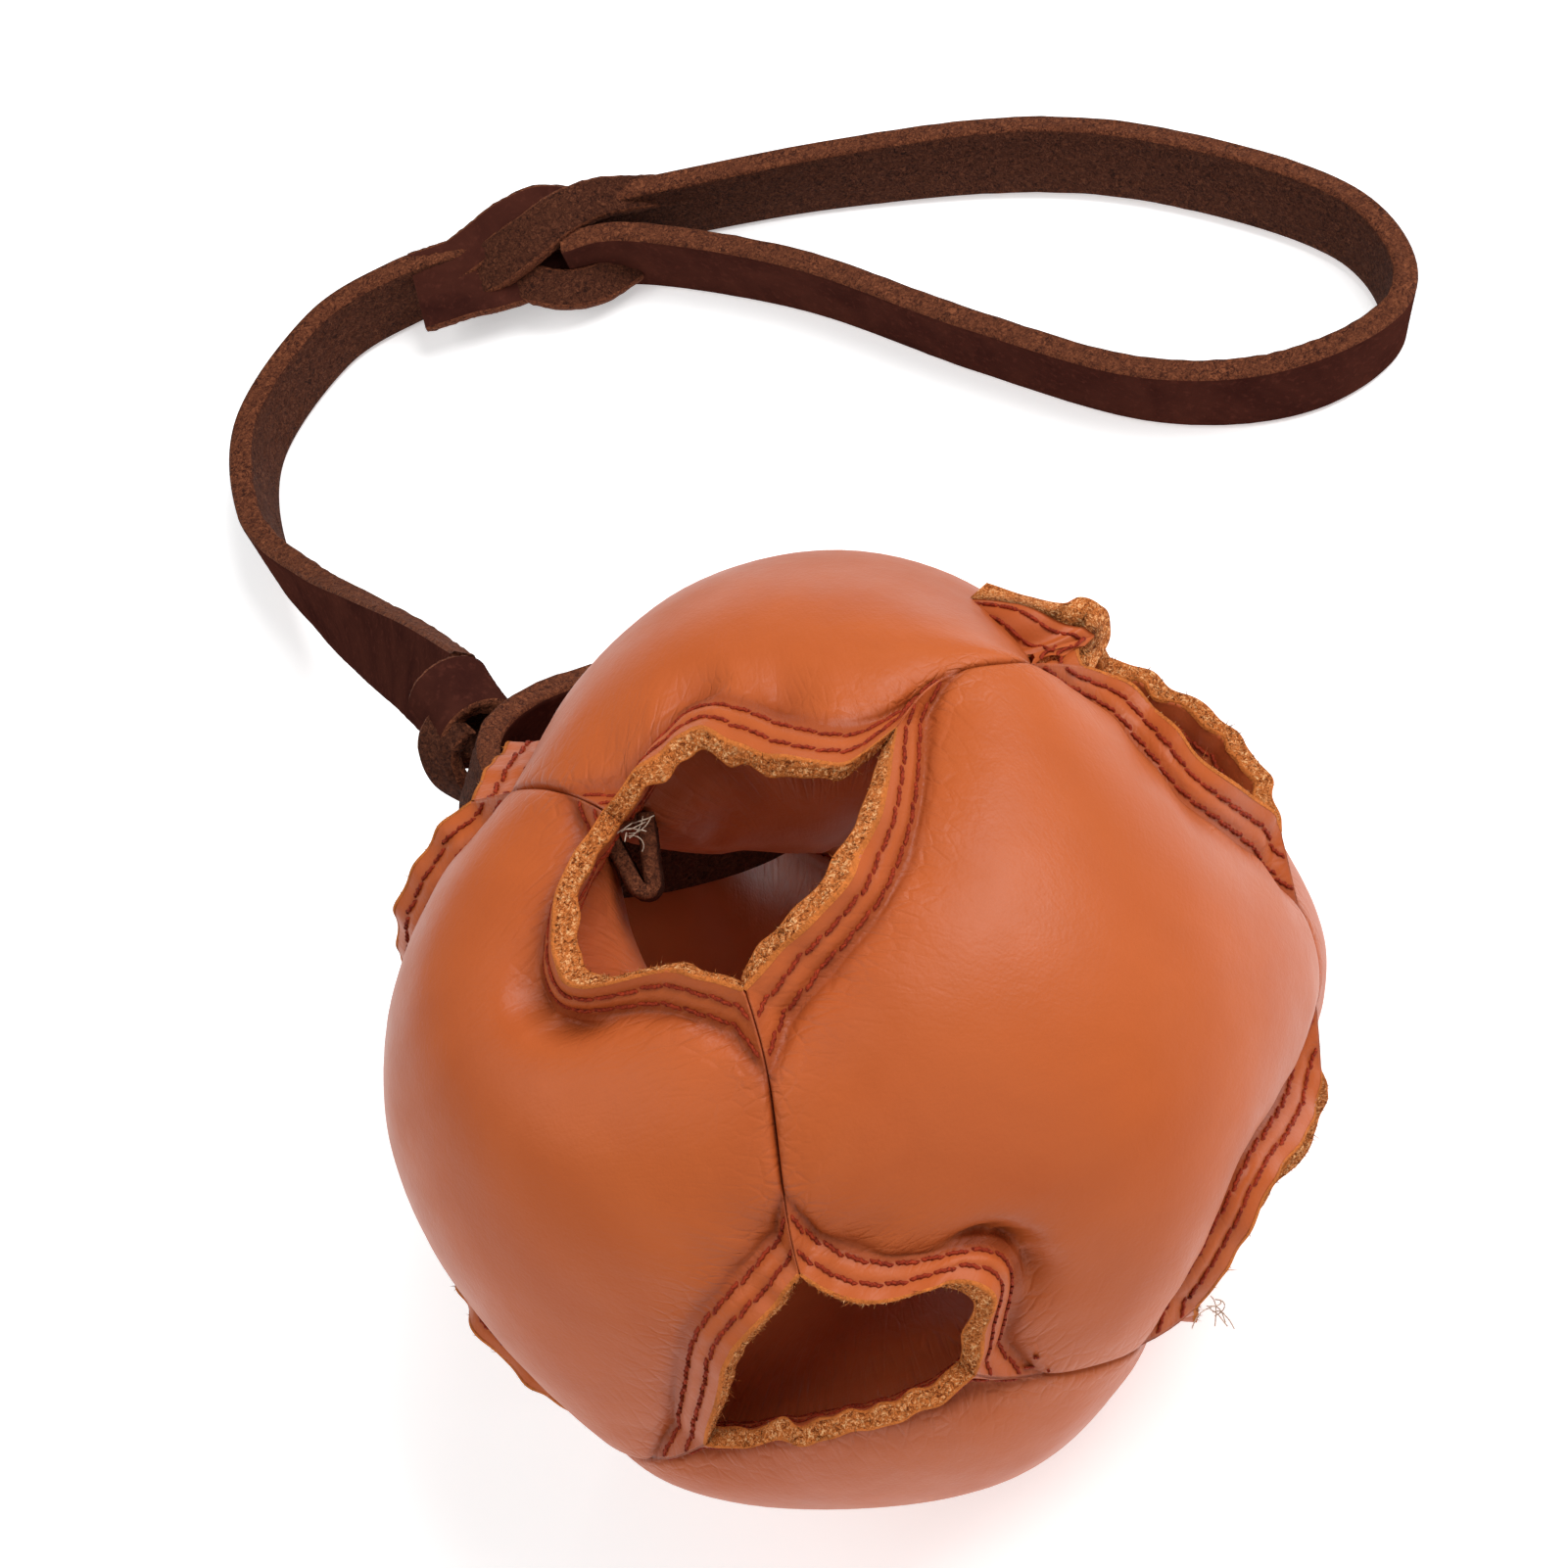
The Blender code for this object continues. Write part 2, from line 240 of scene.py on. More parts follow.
# folds that dip behind a flange: pod, opening, place along the flange, depth and width in millimetres
DENTS = [
    ("front", "front", -0.05, 3.4, 3.6),
    ("front", "front", -0.30, 4.4, 3.2),
    ("front", "front", -0.55, 3.4, 3.0),
    ("left", "upper", -0.15, 3.0, 3.6),
    ("left", "upper", 0.15, 3.4, 3.4),
    ("top", "upper", 0.20, 2.2, 4.0),
    ("top", "upper", -0.40, 1.8, 3.6),
    ("front", "lower_right", -0.1, 3.0, 4.0),
    ("front", "lower_right", 0.45, 2.4, 3.2),
    ("back", "rear", 0.2, 3.0, 3.6),
    ("right", "upper_right", -0.2, 3.0, 3.6),
    ("bottom", "under", 0.1, 2.6, 3.8),
    ("left", "lower_left", -0.2, 3.0, 3.6),
]


def dented(pod, x, y):
    """How deep the folds are here, in metres, and how much of a fold there is, from 0 to 1."""
    depth, share = np.zeros_like(x), np.zeros_like(x)
    for name, opening, part, deep, wide in DENTS:
        if name == pod:
            u, v = flange_point(pod, opening, np.array([part]), FLANGE_WIDTH + 0.0022)
            near = np.exp(-((x - u) ** 2 + (y - v) ** 2) / (wide * MM) ** 2)
            depth = np.maximum(depth, deep * MM * near)
            share = np.maximum(share, near)
    return depth, share


def relief(pod, x, y, layer):
    """How far the leather stands off the plain skin: puckers along the flanges, stitch grooves, slack."""
    along, across, lift, inset = edge_frame(pod, x, y)
    which = corner_of(pod, x, y)
    long_wave = np.zeros_like(x)
    short_wave = np.zeros_like(x)
    for i in np.unique(which):
        here = which == i
        long_wave[here] = LONG_WAVES[i](along[here][:, None])
        short_wave[here] = SHORT_WAVES[i](along[here][:, None] * 0.9)
    centred = smooth_step(HALF_EDGE * 1.15, HALF_EDGE * 0.7, np.abs(along))
    seam = seam_distance(x, y)
    keep = smooth_step(0, 0.004, seam)
    beyond = inset - FLANGE_WIDTH
    pleat = smooth_step(-0.0015, 0.001, beyond) * np.exp(-np.maximum(beyond, 0) / 0.0055)
    height = pleat * (0.00030 * long_wave + 0.00016 * short_wave) * (0.35 + 0.65 * centred)
    rim = np.exp(-inset / 0.0042)
    ripple = rim * centred * (0.00080 * long_wave + 0.00025 * short_wave)
    height += ripple if layer >= 0 else -ripple - rim * centred * 0.00045 * short_wave
    for row in ROW_INSETS:
        height -= 0.00020 * np.exp(-((inset - row) / 0.0007) ** 2)
    height += 0.00014 * smooth_step(0.0016, 0, np.abs(inset - sum(ROW_INSETS) / 2)) * (1 + 0.6 * short_wave)
    where = np.stack([x, y, np.full_like(x, 0.05 * list(PODS).index(pod))], axis=-1)
    height += keep * 0.00045 * BROAD_WAVES(where) * smooth_step(0.0, 0.02, beyond)
    height += keep * 0.00005 * FINE_WAVES(where) * np.exp(-np.maximum(beyond, 0) / 0.008)
    if layer > 0:
        height -= dented(pod, x, y)[0] * smooth_step(-0.0008, 0.0016, beyond)
    return height * keep if layer > 0 else height * keep * 0.9


def across_step(function, x, y, step=0.0002):
    """Point and outward normal of a skin, from points a small step apart."""
    here = function(x, y)
    ahead = function(x + step, y)
    aside = function(x, y + step)
    normal = np.cross(ahead - here, aside - here)
    normal /= np.maximum(np.linalg.norm(normal, axis=-1), 1e-12)[..., None]
    return here, normal


def shaped_skin(pod, x, y, layer):
    spot, normal = across_step(lambda u, v: plain_skin(pod, u, v, layer), x, y)
    if layer < 0:
        normal = -normal
    return spot + normal * (relief(pod, x, y, layer))[..., None]


# ---- how the real ball differs from the plain one: shifts in millimetres ----
# where two pods' seam meets a third pod
JUNCTION_SHIFTS = [
    (("front", "left", "bottom"), (-1.3, -1.7, -0.9)),
    (("top", "front", "left"), (4.0, 0.8, 0.6)),
    (("top", "front", "right"), (2.4, 2.4, 1.4)),
    (("left", "top", "front"), (-0.7, -2.1, -1.1)),
    (("left", "top", "back"), (0.4, -3.5, -1.8)),
    (("front", "bottom", "left"), (-1.3, 2.9, 1.4)),
    (("front", "bottom", "right"), (0.9, 1.6, 0.9)),
    (("left", "bottom", "front"), (-4.3, -0.2, -0.3)),
    (("front", "left", "top"), (0.0, 0.0, 0.0)),
]
# place on the flange, then the shift along it, in towards the middle of the pod, and out
FLANGE_SHIFTS = {
    ("top", "upper"): [
        (-1.0, 1.5, -3.5, -3.0),
        (-0.75, 1.5, -3.0, -3.0),
        (-0.5, 0.5, -1.0, -2.0),
        (-0.25, 1.5, -0.5, -2.5),
        (0.25, 2.0, -5.5, -7.5),
        (0.75, 3.5, -3.0, -5.0),
        (1.0, 2.5, 2.0, 1.0),
    ],
    ("front", "upper"): [
        (-1.0, -3.0, 1.5, 0.0),
        (0.0, 0.5, 1.5, -0.5),
        (0.75, 0.0, 0.0, -1.0),
        (1.0, 0.0, 0.0, 0.5),
    ],
    ("left", "upper"): [
        (-1.0, 4.5, -0.5, 1.5),
        (-0.75, 2.0, 3.0, 2.0),
        (-0.25, 0.5, 9.5, 5.0),
        (0.0, 2.0, 11.0, 5.5),
        (0.25, 2.0, 7.0, 3.0),
        (0.5, 0.0, 2.5, 1.0),
        (1.0, 0.5, 0.5, 0.5),
    ],
    ("left", "front"): [
        (-1.0, -4.0, 2.0, 0.5),
        (-0.75, 0.5, 0.5, 0.0),
        (-0.5, 3.0, -0.5, -1.0),
        (-0.25, 4.0, 0.0, -2.0),
        (0.5, 2.0, -1.5, -3.0),
        (1.0, -1.0, -0.5, 0.0),
    ],
    ("front", "front"): [
        (-1.0, 7.0, 0.0, 2.5),
        (-0.5, 6.0, 6.5, 4.5),
        (-0.25, 6.5, 7.0, 3.5),
        (0.25, 2.0, 1.5, -1.0),
        (0.5, 0.5, -0.5, -2.0),
        (0.75, -0.5, -1.5, -2.0),
        (1.0, -1.0, -1.0, 0.0),
    ],
    ("bottom", "front"): [
        (-1.0, -3.5, 3.0, 1.5),
        (-0.5, -2.0, -3.0, -4.5),
        (0.0, -1.5, -5.5, -7.5),
        (1.0, -2.0, -5.5, -5.0),
    ],
    ("front", "upper_right"): [
        (-1.0, -2.0, -1.5, 0.5),
        (-0.75, -3.5, -3.0, -2.5),
        (-0.5, -3.0, -2.0, -3.0),
        (-0.25, 0.5, 0.0, -1.5),
        (0.0, 2.5, 0.0, -2.0),
        (0.5, -1.0, -4.5, -6.0),
        (0.75, -1.5, -5.5, -6.5),
        (1.0, 0.0, -2.5, -2.5),
    ],
    ("front", "lower_right"): [
        (-1.0, -1.0, 5.5, 4.0),
        (-0.5, -1.0, 6.0, 3.0),
        (0.0, -1.5, 8.5, 4.5),
        (0.25, -0.5, 6.0, 3.0),
        (0.5, 2.5, -1.0, -2.5),
        (1.0, 2.0, -0.5, 1.0),
    ],
    ("top", "upper_right"): [
        (-1.0, 0.0, 0.0, 0.0),
        (-0.5, 0.0, 1.0, -1.0),
        (0.5, 0.0, 1.0, -1.0),
        (0.75, 0.0, 0.5, -0.5),
        (1.0, -0.5, 0.0, 2.0),
    ],
}
# flanges pulled evenly: in and out at the flange's middle, and out at its ends
FLANGE_BOWS = {
    ("left", "left"): (1.0, -1.0, 0.0),
    ("top", "left"): (2.0, -3.5, -0.5),
    ("bottom", "lower_right"): (2.0, -4.0, -0.5),
}
PULL_PARTS = np.linspace(-1, 1, 9)


def flange_point(pod, opening, part, inset=0.0):
    """x and y on a flange. part is 1 at the neighbour that comes first in PODS, and -1 at the other."""
    corner = AXES[pod].T @ CORNERS[opening]
    others = [name for name in pods_round(opening) if name != pod]
    toward = AXES[pod].T @ PODS[others[0]]
    sign = 1.0 if abs(toward[0]) > 0.5 else -1.0
    along = np.asarray(part, float) * HALF_EDGE * sign
    total = SEAM_HALF + SEAM_HALF_LENGTH - np.asarray(inset, float) * ROOT_2
    x = (total + along * ROOT_2) / 2
    y = (total - along * ROOT_2) / 2
    return x * np.sign(corner[0]), y * np.sign(corner[1])


def flange_axes(pod, opening):
    """Unit vectors: along the flange to the first neighbour, in towards the pod's middle, and out."""
    x, y = flange_point(pod, opening, np.array([-1.0, 0.0, 1.0]))
    inward = -(AXES[pod][:, 0] * x[1] + AXES[pod][:, 1] * y[1])
    inward /= np.linalg.norm(inward)
    along = AXES[pod][:, 0] * (x[2] - x[0]) + AXES[pod][:, 1] * (y[2] - y[0])
    along /= np.linalg.norm(along)
    return along, inward, PODS[pod]


def control_points():
    spots = []
    shifts = []
    for (a, b, c), shift in JUNCTION_SHIFTS:
        nominal = PODS[a] + PODS[b] + 0.403 * PODS[c]
        spots.append(nominal * SEAM_HALF)
        shifts.append(np.array(shift) * MM)
    pulls = {}
    for flange, knots in FLANGE_SHIFTS.items():
        parts, *ways = np.array(knots).T
        pulls[flange] = np.stack([np.interp(PULL_PARTS, parts, way) for way in ways], axis=1)
    bow = (1 - PULL_PARTS**2) ** 0.7
    for flange, (inward, out, ends) in FLANGE_BOWS.items():
        pulls[flange] = np.stack([0 * bow, inward * bow, out * bow + ends], axis=1)
    for (pod, opening), pull in pulls.items():
        x, y = flange_point(pod, opening, PULL_PARTS)
        spots += list(plain_skin(pod, x, y, 0))
        shifts += list(pull @ np.array(flange_axes(pod, opening)) * MM)
    return np.array(spots), np.array(shifts)


class Pull:
    """Moves space smoothly, broadly and then finely, to bring the control points near their places."""

    def __init__(self, spots, shifts, widths=(0.019, 0.0085), stiffness=(0.25, 0.06)):
        self.passes = []
        left = shifts.copy()
        for width, soft in zip(widths, stiffness):
            away = np.linalg.norm(spots[:, None] - spots[None], axis=-1)
            kernel = np.exp(-0.5 * (away / width) ** 2)
            weights = np.linalg.solve(kernel + soft * np.eye(len(spots)), left)
            left = left - kernel @ weights
            self.passes.append((spots, width, weights))

    def __call__(self, points):
        flat = points.reshape(-1, 3)
        moved = np.zeros_like(flat)
        for spots, width, weights in self.passes:
            for first in range(0, len(flat), 40000):
                some = flat[first:first + 40000]
                away = ((some[:, None] - spots[None]) ** 2).sum(axis=-1)
                moved[first:first + 40000] += np.exp(-0.5 * away / width ** 2) @ weights
        return (flat + moved).reshape(points.shape)


pull = Pull(*control_points())
SLACK = {}


def final_skin(pod, x, y, layer):
    """The finished leather, in the row frame."""
    spot = pull(shaped_skin(pod, x, y, layer))
    if pod in SLACK:
        spot = spot + SLACK[pod](x, y, layer)
    return pressed(spot, CENTRE[2] - 0.0001) + CENTRE


# ---- slack: each pod is a pillow of cloth, cut to the plain shape, held in the pulled one and blown up ----
CLOTH_STEPS = 12            # points on each side of the outline
CLOTH_SCALE = 10            # the solver works on a larger copy
CLOTH_FRAMES = 18
CLOTH_RINGS = np.concatenate([np.linspace(0.06, 0.78, 13), np.linspace(0.825, 1.0, 8)])
MOST_SLACK = 0.0030         # no point moves further than this


def rim_points(steps):
    a = SEAM_HALF - SEAM_GAP
    b = SEAM_HALF_LENGTH
    corners = np.array([(a, -b), (a, b), (b, a), (-b, a), (-a, b), (-a, -b), (-b, -a), (b, -a)])
    after = np.roll(corners, -1, axis=0)
    parts = np.arange(steps)[:, None] / steps
    return np.concatenate([start + (end - start) * parts for start, end in zip(corners, after)])


def pillow_faces(count, rings):
    """Two skins of rings round a middle point, joined at the rim."""
    turn = [(i, (i + 1) % count) for i in range(count)]
    one = [(0, 1 + i, 1 + j) for i, j in turn]
    for low in range(1, 1 + (rings - 1) * count, count):
        one += [(low + i, low + count + i, low + count + j, low + j) for i, j in turn]
    total = 1 + rings * count
    last = total - count
    both = one + [tuple(total + i for i in face[::-1]) for face in one]
    side = [(last + i, last + total + i, last + total + j, last + j) for i, j in turn]
    return both, side


def catmull(size, at, wraps):
    """Weights and places of the four grid points round each place along a row of that size."""
    i = np.floor(at).astype(int)
    f = (at - i)[:, None]
    weights = (
        -f / 2 + f * f - f ** 3 / 2,
        1 - 2.5 * f * f + 1.5 * f ** 3,
        f / 2 + 2 * f * f - 1.5 * f ** 3,
        (f ** 3 - f * f) / 2,
    )
    places = [(i + k) % size if wraps else np.clip(i + k, 0, size - 1) for k in (-1, 0, 1, 2)]
    return weights, places


class Slack:
    """How far the cloth moved each place of a pod, read smoothly from its grid."""

    def __init__(self, pod, moves):
        self.pod = pod
        self.moves = moves
        rim = rim_points(CLOTH_STEPS)
        self.turns = np.unwrap(np.arctan2(rim[:, 1], rim[:, 0]))

    def __call__(self, x, y, layer):
        a = SEAM_HALF - SEAM_GAP
        by_seam = np.maximum(np.abs(x), np.abs(y)) / a
        share = np.maximum(by_seam, (np.abs(x) + np.abs(y)) / (a + SEAM_HALF_LENGTH))
        ring = np.interp(share, CLOTH_RINGS, np.arange(len(CLOTH_RINGS)))
        turn = (np.arctan2(y, x) - self.turns[0]) % (2 * math.pi) + self.turns[0]
        full_turn = np.append(self.turns, self.turns[0] + 2 * math.pi)
        around = np.interp(turn, full_turn, np.arange(len(full_turn)))
        grid = self.moves[0 if layer >= 0 else 1]
        ring_weights, ring_places = catmull(grid.shape[0], ring, False)
        turn_weights, turn_places = catmull(grid.shape[1], around, True)
        move = np.zeros((len(x), 3))
        for rw, rp in zip(ring_weights, ring_places):
            for tw, tp in zip(turn_weights, turn_places):
                move += rw * tw * grid[rp, tp]
        inset = edge_frame(self.pod, x, y)[3]
        free = smooth_step(0.0005, 0.007, seam_distance(x, y))
        free = free * smooth_step(FLANGE_WIDTH - 0.001, FLANGE_WIDTH + 0.004, inset)
        return move * (free * smooth_step(0.0, 0.12, share))[:, None]


def blow_up(pod):
    """How far pressure moves the pod's two skins, each as a grid of rings."""
    rim = rim_points(CLOTH_STEPS)
    count = len(rim)
    x = np.append(0.0, (CLOTH_RINGS[:, None] * rim[None, :, 0]).ravel())
    y = np.append(0.0, (CLOTH_RINGS[:, None] * rim[None, :, 1]).ravel())
    cut = np.concatenate([plain_skin(pod, x, y, layer) for layer in (1, -1)])
    held = pull(cut)
    both, side = pillow_faces(count, len(CLOTH_RINGS))
    mesh = bpy.data.meshes.new("pillow")
    mesh.from_pydata((held * CLOTH_SCALE).tolist(), [], both + side)
    pillow = bpy.data.objects.new("pillow", mesh)
    bpy.context.scene.collection.objects.link(pillow)
    pillow.shape_key_add(name="held")
    key = pillow.shape_key_add(name="cut")
    key.data.foreach_set("co", (cut * CLOTH_SCALE).ravel())
    pinned = (edge_frame(pod, x, y)[3] < FLANGE_WIDTH - 0.0005) | (seam_distance(x, y) < 0.0008)
    group = pillow.vertex_groups.new(name="pinned")
    group.add(np.flatnonzero(np.tile(pinned, 2)).tolist(), 1.0, "REPLACE")
    cloth = pillow.modifiers.new("cloth", "CLOTH")
    cloth.settings.quality = 8
    cloth.settings.mass = 0.2
    cloth.settings.tension_stiffness = 25
    cloth.settings.compression_stiffness = 25
    cloth.settings.shear_stiffness = 10
    cloth.settings.bending_stiffness = 1.5
    cloth.settings.air_damping = 3
    cloth.settings.vertex_group_mass = "pinned"
    cloth.settings.rest_shape_key = key
    cloth.settings.use_pressure = True
    cloth.settings.uniform_pressure_force = 4
    cloth.settings.effector_weights.gravity = 0
    cloth.collision_settings.use_collision = False
    for step in range(1, CLOTH_FRAMES + 1):
        bpy.context.scene.frame_set(step)
    done = pillow.evaluated_get(bpy.context.evaluated_depsgraph_get()).to_mesh()
    spots = np.empty(len(held) * 3, np.float32)
    done.vertices.foreach_get("co", spots)
    moves = spots.reshape(-1, 3) / CLOTH_SCALE - held
    size = np.linalg.norm(moves, axis=1)[:, None]
    moves = moves / np.sqrt(1 + (size / MOST_SLACK) ** 2)
    bpy.context.scene.frame_set(1)
    bpy.data.objects.remove(pillow)
    bpy.data.meshes.remove(mesh)
    half = len(x)
    skins = (moves[1:half], moves[half + 1:])
    return [skin.reshape(len(CLOTH_RINGS), count, 3) for skin in skins]


for pod_name in PODS:
    SLACK[pod_name] = Slack(pod_name, blow_up(pod_name))


# ---- camera, floor and light ----
VIEW_AZIMUTH = -95.64
VIEW_ELEVATION = 62.41
VIEW_ROLL = -30.85
VIEW_DISTANCE = 0.47674
LENS = 81.1
LOOK_ASIDE = 1.095          # degrees that the ball lies right of the middle of the view
LOOK_UNDER = 3.932          # and under it


def add_camera():
    az = math.radians(VIEW_AZIMUTH)
    el = math.radians(VIEW_ELEVATION)
    back = Vector((math.cos(az) * math.cos(el), math.sin(az) * math.cos(el), math.sin(el)))
    right = Vector((0, 0, 1)).cross(back).normalized()
    turn = Matrix((right, back.cross(right), back)).transposed().to_4x4()
    for degrees, axis in ((VIEW_ROLL, "Z"), (LOOK_UNDER, "X"), (LOOK_ASIDE, "Y")):
        turn = turn @ Matrix.Rotation(math.radians(degrees), 4, axis)
    camera = bpy.data.objects.new("camera", bpy.data.cameras.new("camera"))
    bpy.context.scene.collection.objects.link(camera)
    camera.matrix_world = Matrix.Translation(Vector(CENTRE) + back * VIEW_DISTANCE) @ turn
    camera.data.lens = LENS
    camera.data.sensor_width = 36
    camera.data.clip_start = 0.01
    bpy.context.scene.camera = camera


def add_area(name, place, size, power):
    light = bpy.data.objects.new(name, bpy.data.lights.new(name, "AREA"))
    light.data.size = size
    light.data.energy = power
    light.location = place
    light.rotation_euler = (Vector(CENTRE) - Vector(place)).to_track_quat("-Z", "Y").to_euler()
    bpy.context.scene.collection.objects.link(light)


def add_stage():
    world = bpy.data.worlds.new("studio")
    world.use_nodes = True
    ground = world.node_tree.nodes["Background"]
    ground.inputs["Color"].default_value = (1, 1, 1, 1)
    ground.inputs["Strength"].default_value = 0.30
    bpy.context.scene.world = world
    mesh = bpy.data.meshes.new("floor")
    far = 6.0
    mesh.from_pydata([(-far, -far, 0), (far, -far, 0), (far, far, 0), (-far, far, 0)], [], [(0, 1, 2, 3)])
    floor = bpy.data.objects.new("floor", mesh)
    floor.location.z = -0.0002
    bpy.context.scene.collection.objects.link(floor)
    paint = bpy.data.materials.new("floor")
    paint.use_nodes = True
    shader = paint.node_tree.nodes["Principled BSDF"]
    shader.inputs["Base Color"].default_value = (0.93, 0.93, 0.93, 1)
    shader.inputs["Roughness"].default_value = 0.9
    shader.inputs["Specular IOR Level"].default_value = 0.1
    shader.inputs["Emission Color"].default_value = (1, 1, 1, 1)
    shader.inputs["Emission Strength"].default_value = 0.42
    mesh.materials.append(paint)
    add_area("key", (0.62, -0.05, 1.0), 0.7, 13.0)
    add_area("fill", (-0.7, 0.15, 1.0), 0.8, 4.5)
    add_area("front", (-0.1, -1.1, 0.7), 0.8, 2.0)
    bpy.context.scene.view_settings.view_transform = "Standard"


add_camera()
add_stage()


# ---- materials ----
class Paint:
    """A short way to write a node tree."""

    def __init__(self, name):
        self.made = bpy.data.materials.new(name)
        self.made.use_nodes = True
        self.tree = self.made.node_tree
        self.shader = self.tree.nodes["Principled BSDF"]
        self.place = self.add("ShaderNodeTexCoord").outputs["Object"]

    def add(self, kind, **settings):
        node = self.tree.nodes.new(kind)
        for key, value in settings.items():
            setattr(node, key, value)
        return node

    def put(self, socket, value):
        if isinstance(value, bpy.types.NodeSocket):
            self.tree.links.new(value, socket)
        else:
            socket.default_value = value

    def noise(self, scale, detail=3.0, roughness=0.55, where=None, warp=0.0):
        node = self.add("ShaderNodeTexNoise")
        self.put(node.inputs["Vector"], where or self.place)
        node.inputs["Scale"].default_value = scale
        node.inputs["Detail"].default_value = detail
        node.inputs["Roughness"].default_value = roughness
        node.inputs["Distortion"].default_value = warp
        return node.outputs["Fac"]

    def cells(self, scale, where=None, feature="F1"):
        node = self.add("ShaderNodeTexVoronoi", feature=feature)
        self.put(node.inputs["Vector"], where or self.place)
        node.inputs["Scale"].default_value = scale
        return node.outputs["Distance"]

    def stretched(self, where, scale):
        node = self.add("ShaderNodeMapping")
        self.put(node.inputs["Vector"], where)
        node.inputs["Scale"].default_value = scale
        return node.outputs["Vector"]

    def ramp(self, value, stops):
        node = self.add("ShaderNodeValToRGB")
        self.put(node.inputs["Fac"], value)
        marks = node.color_ramp.elements
        while len(marks) < len(stops):
            marks.new(0.5)
        for mark, (spot, colour) in zip(marks, stops):
            mark.position = spot
            if isinstance(colour, (int, float)):
                colour = (colour, colour, colour)
            mark.color = (*colour, 1)
        return node.outputs["Color"]

    def mix(self, factor, a, b, how="MIX"):
        node = self.add("ShaderNodeMix", data_type="RGBA", blend_type=how)
        self.put(node.inputs["Factor"], factor)
        for socket, value in ((node.inputs[6], a), (node.inputs[7], b)):
            if isinstance(value, tuple):
                value = (*value, 1)
            self.put(socket, value)
        return node.outputs[2]

    def maths(self, how, a, b=0.0, clamp=False):
        node = self.add("ShaderNodeMath", operation=how, use_clamp=clamp)
        self.put(node.inputs[0], a)
        self.put(node.inputs[1], b)
        return node.outputs[0]

    def value_of(self, name):
        return self.add("ShaderNodeAttribute", attribute_name=name).outputs["Fac"]

    def vector_of(self, name):
        return self.add("ShaderNodeAttribute", attribute_name=name).outputs["Vector"]

    def bump(self, height, distance, strength=1.0, before=None):
        node = self.add("ShaderNodeBump")
        self.put(node.inputs["Height"], height)
        node.inputs["Distance"].default_value = distance
        self.put(node.inputs["Strength"], strength)
        if before is not None:
            self.put(node.inputs["Normal"], before)
        return node.outputs["Normal"]

    def finish(self, colour, roughness, normal, specular=0.5):
        self.put(self.shader.inputs["Base Color"], colour)
        self.put(self.shader.inputs["Roughness"], roughness)
        self.put(self.shader.inputs["Normal"], normal)
        self.shader.inputs["Specular IOR Level"].default_value = specular
        return self.made


def panel_leather(name, light, deep, dark, specular):
    """Smooth tan leather: mottled dye, fine pores, and wrinkles that run away from the flanges; painted shade
    (with some grime along the stitch grooves) darkens its creases, seams, folds, stitch grooves and wrinkle
    grooves.
    """
    p = Paint(name)
    mottle = p.noise(26, 4, 0.6, warp=0.6)
    cloud = p.noise(120, 4, 0.65)
    colour = p.ramp(mottle, [(0.32, deep), (0.68, light)])
    colour = p.mix(p.ramp(cloud, [(0.35, 0.0), (0.75, 0.45)]), colour, tuple(c * 0.86 for c in light))
    # painted shade: the crease attribute mixes the colour towards the dark shade colour in creases, seams,
    # folds and stitch grooves
    crease_shade = p.value_of("crease")
    colour = p.mix(p.maths("MULTIPLY", crease_shade, 0.75, clamp=True), colour, dark)
    pleat = p.vector_of("pleat")
    streak = p.noise(1.0, 5, 0.62, where=p.stretched(pleat, (620, 620, 120)), warp=1.0)
    web = p.cells(1.0, where=p.stretched(pleat, (520, 520, 300)), feature="DISTANCE_TO_EDGE")
    wrinkled = p.value_of("wrinkle")
    lines = p.ramp(web, [(0.0, 0.0), (0.16, 1.0)])
    # painted shade: the low parts of the wrinkle streaks, the grooves, are darkened towards the shade colour
    colour = p.mix(p.maths("MULTIPLY", wrinkled, p.ramp(streak, [(0.36, 0.06), (0.50, 0.0)])), colour, dark)
    normal = p.bump(streak, 0.00045, p.maths("MULTIPLY", wrinkled, 0.6))
    normal = p.bump(lines, 0.00012, p.maths("MULTIPLY", wrinkled, 0.8), normal)
    pores = p.cells(2300)
    normal = p.bump(pores, 0.000035, 0.5, normal)
    normal = p.bump(p.noise(900, 3, 0.6), 0.00006, 0.6, normal)
    normal = p.bump(p.noise(150, 3, 0.55), 0.00022, 0.5, normal)
    gloss = p.ramp(p.noise(70, 4, 0.6), [(0.3, 0.36), (0.7, 0.50)])
    return p.finish(colour, gloss, normal, specular)


def suede_leather(name, light, middle, dark, scale, depth):
    """Napped or cut leather: a speckle of pale and dark fibre ends."""
    p = Paint(name)
    speckle = p.noise(scale, 4, 0.8, warp=1.2)
    broad = p.noise(scale * 0.12, 3, 0.6)
    colour = p.ramp(speckle, [(0.40, dark), (0.48, middle), (0.53, middle), (0.61, light)])
    colour = p.mix(p.ramp(broad, [(0.35, 0.0), (0.7, 0.4)]), colour, middle)
    plain = p.value_of("bare")
    skin = p.ramp(broad, [(0.3, tuple(c * 0.8 for c in middle)), (0.7, tuple(c * 1.15 for c in middle))])
    colour = p.mix(plain, colour, skin)
    normal = p.bump(speckle, depth, 0.9)
    normal = p.bump(p.cells(scale * 1.6), depth * 0.6, 0.7, normal)
    rough = p.ramp(speckle, [(0.3, 0.95), (0.7, 0.8)])
    return p.finish(colour, rough, normal, 0.08)


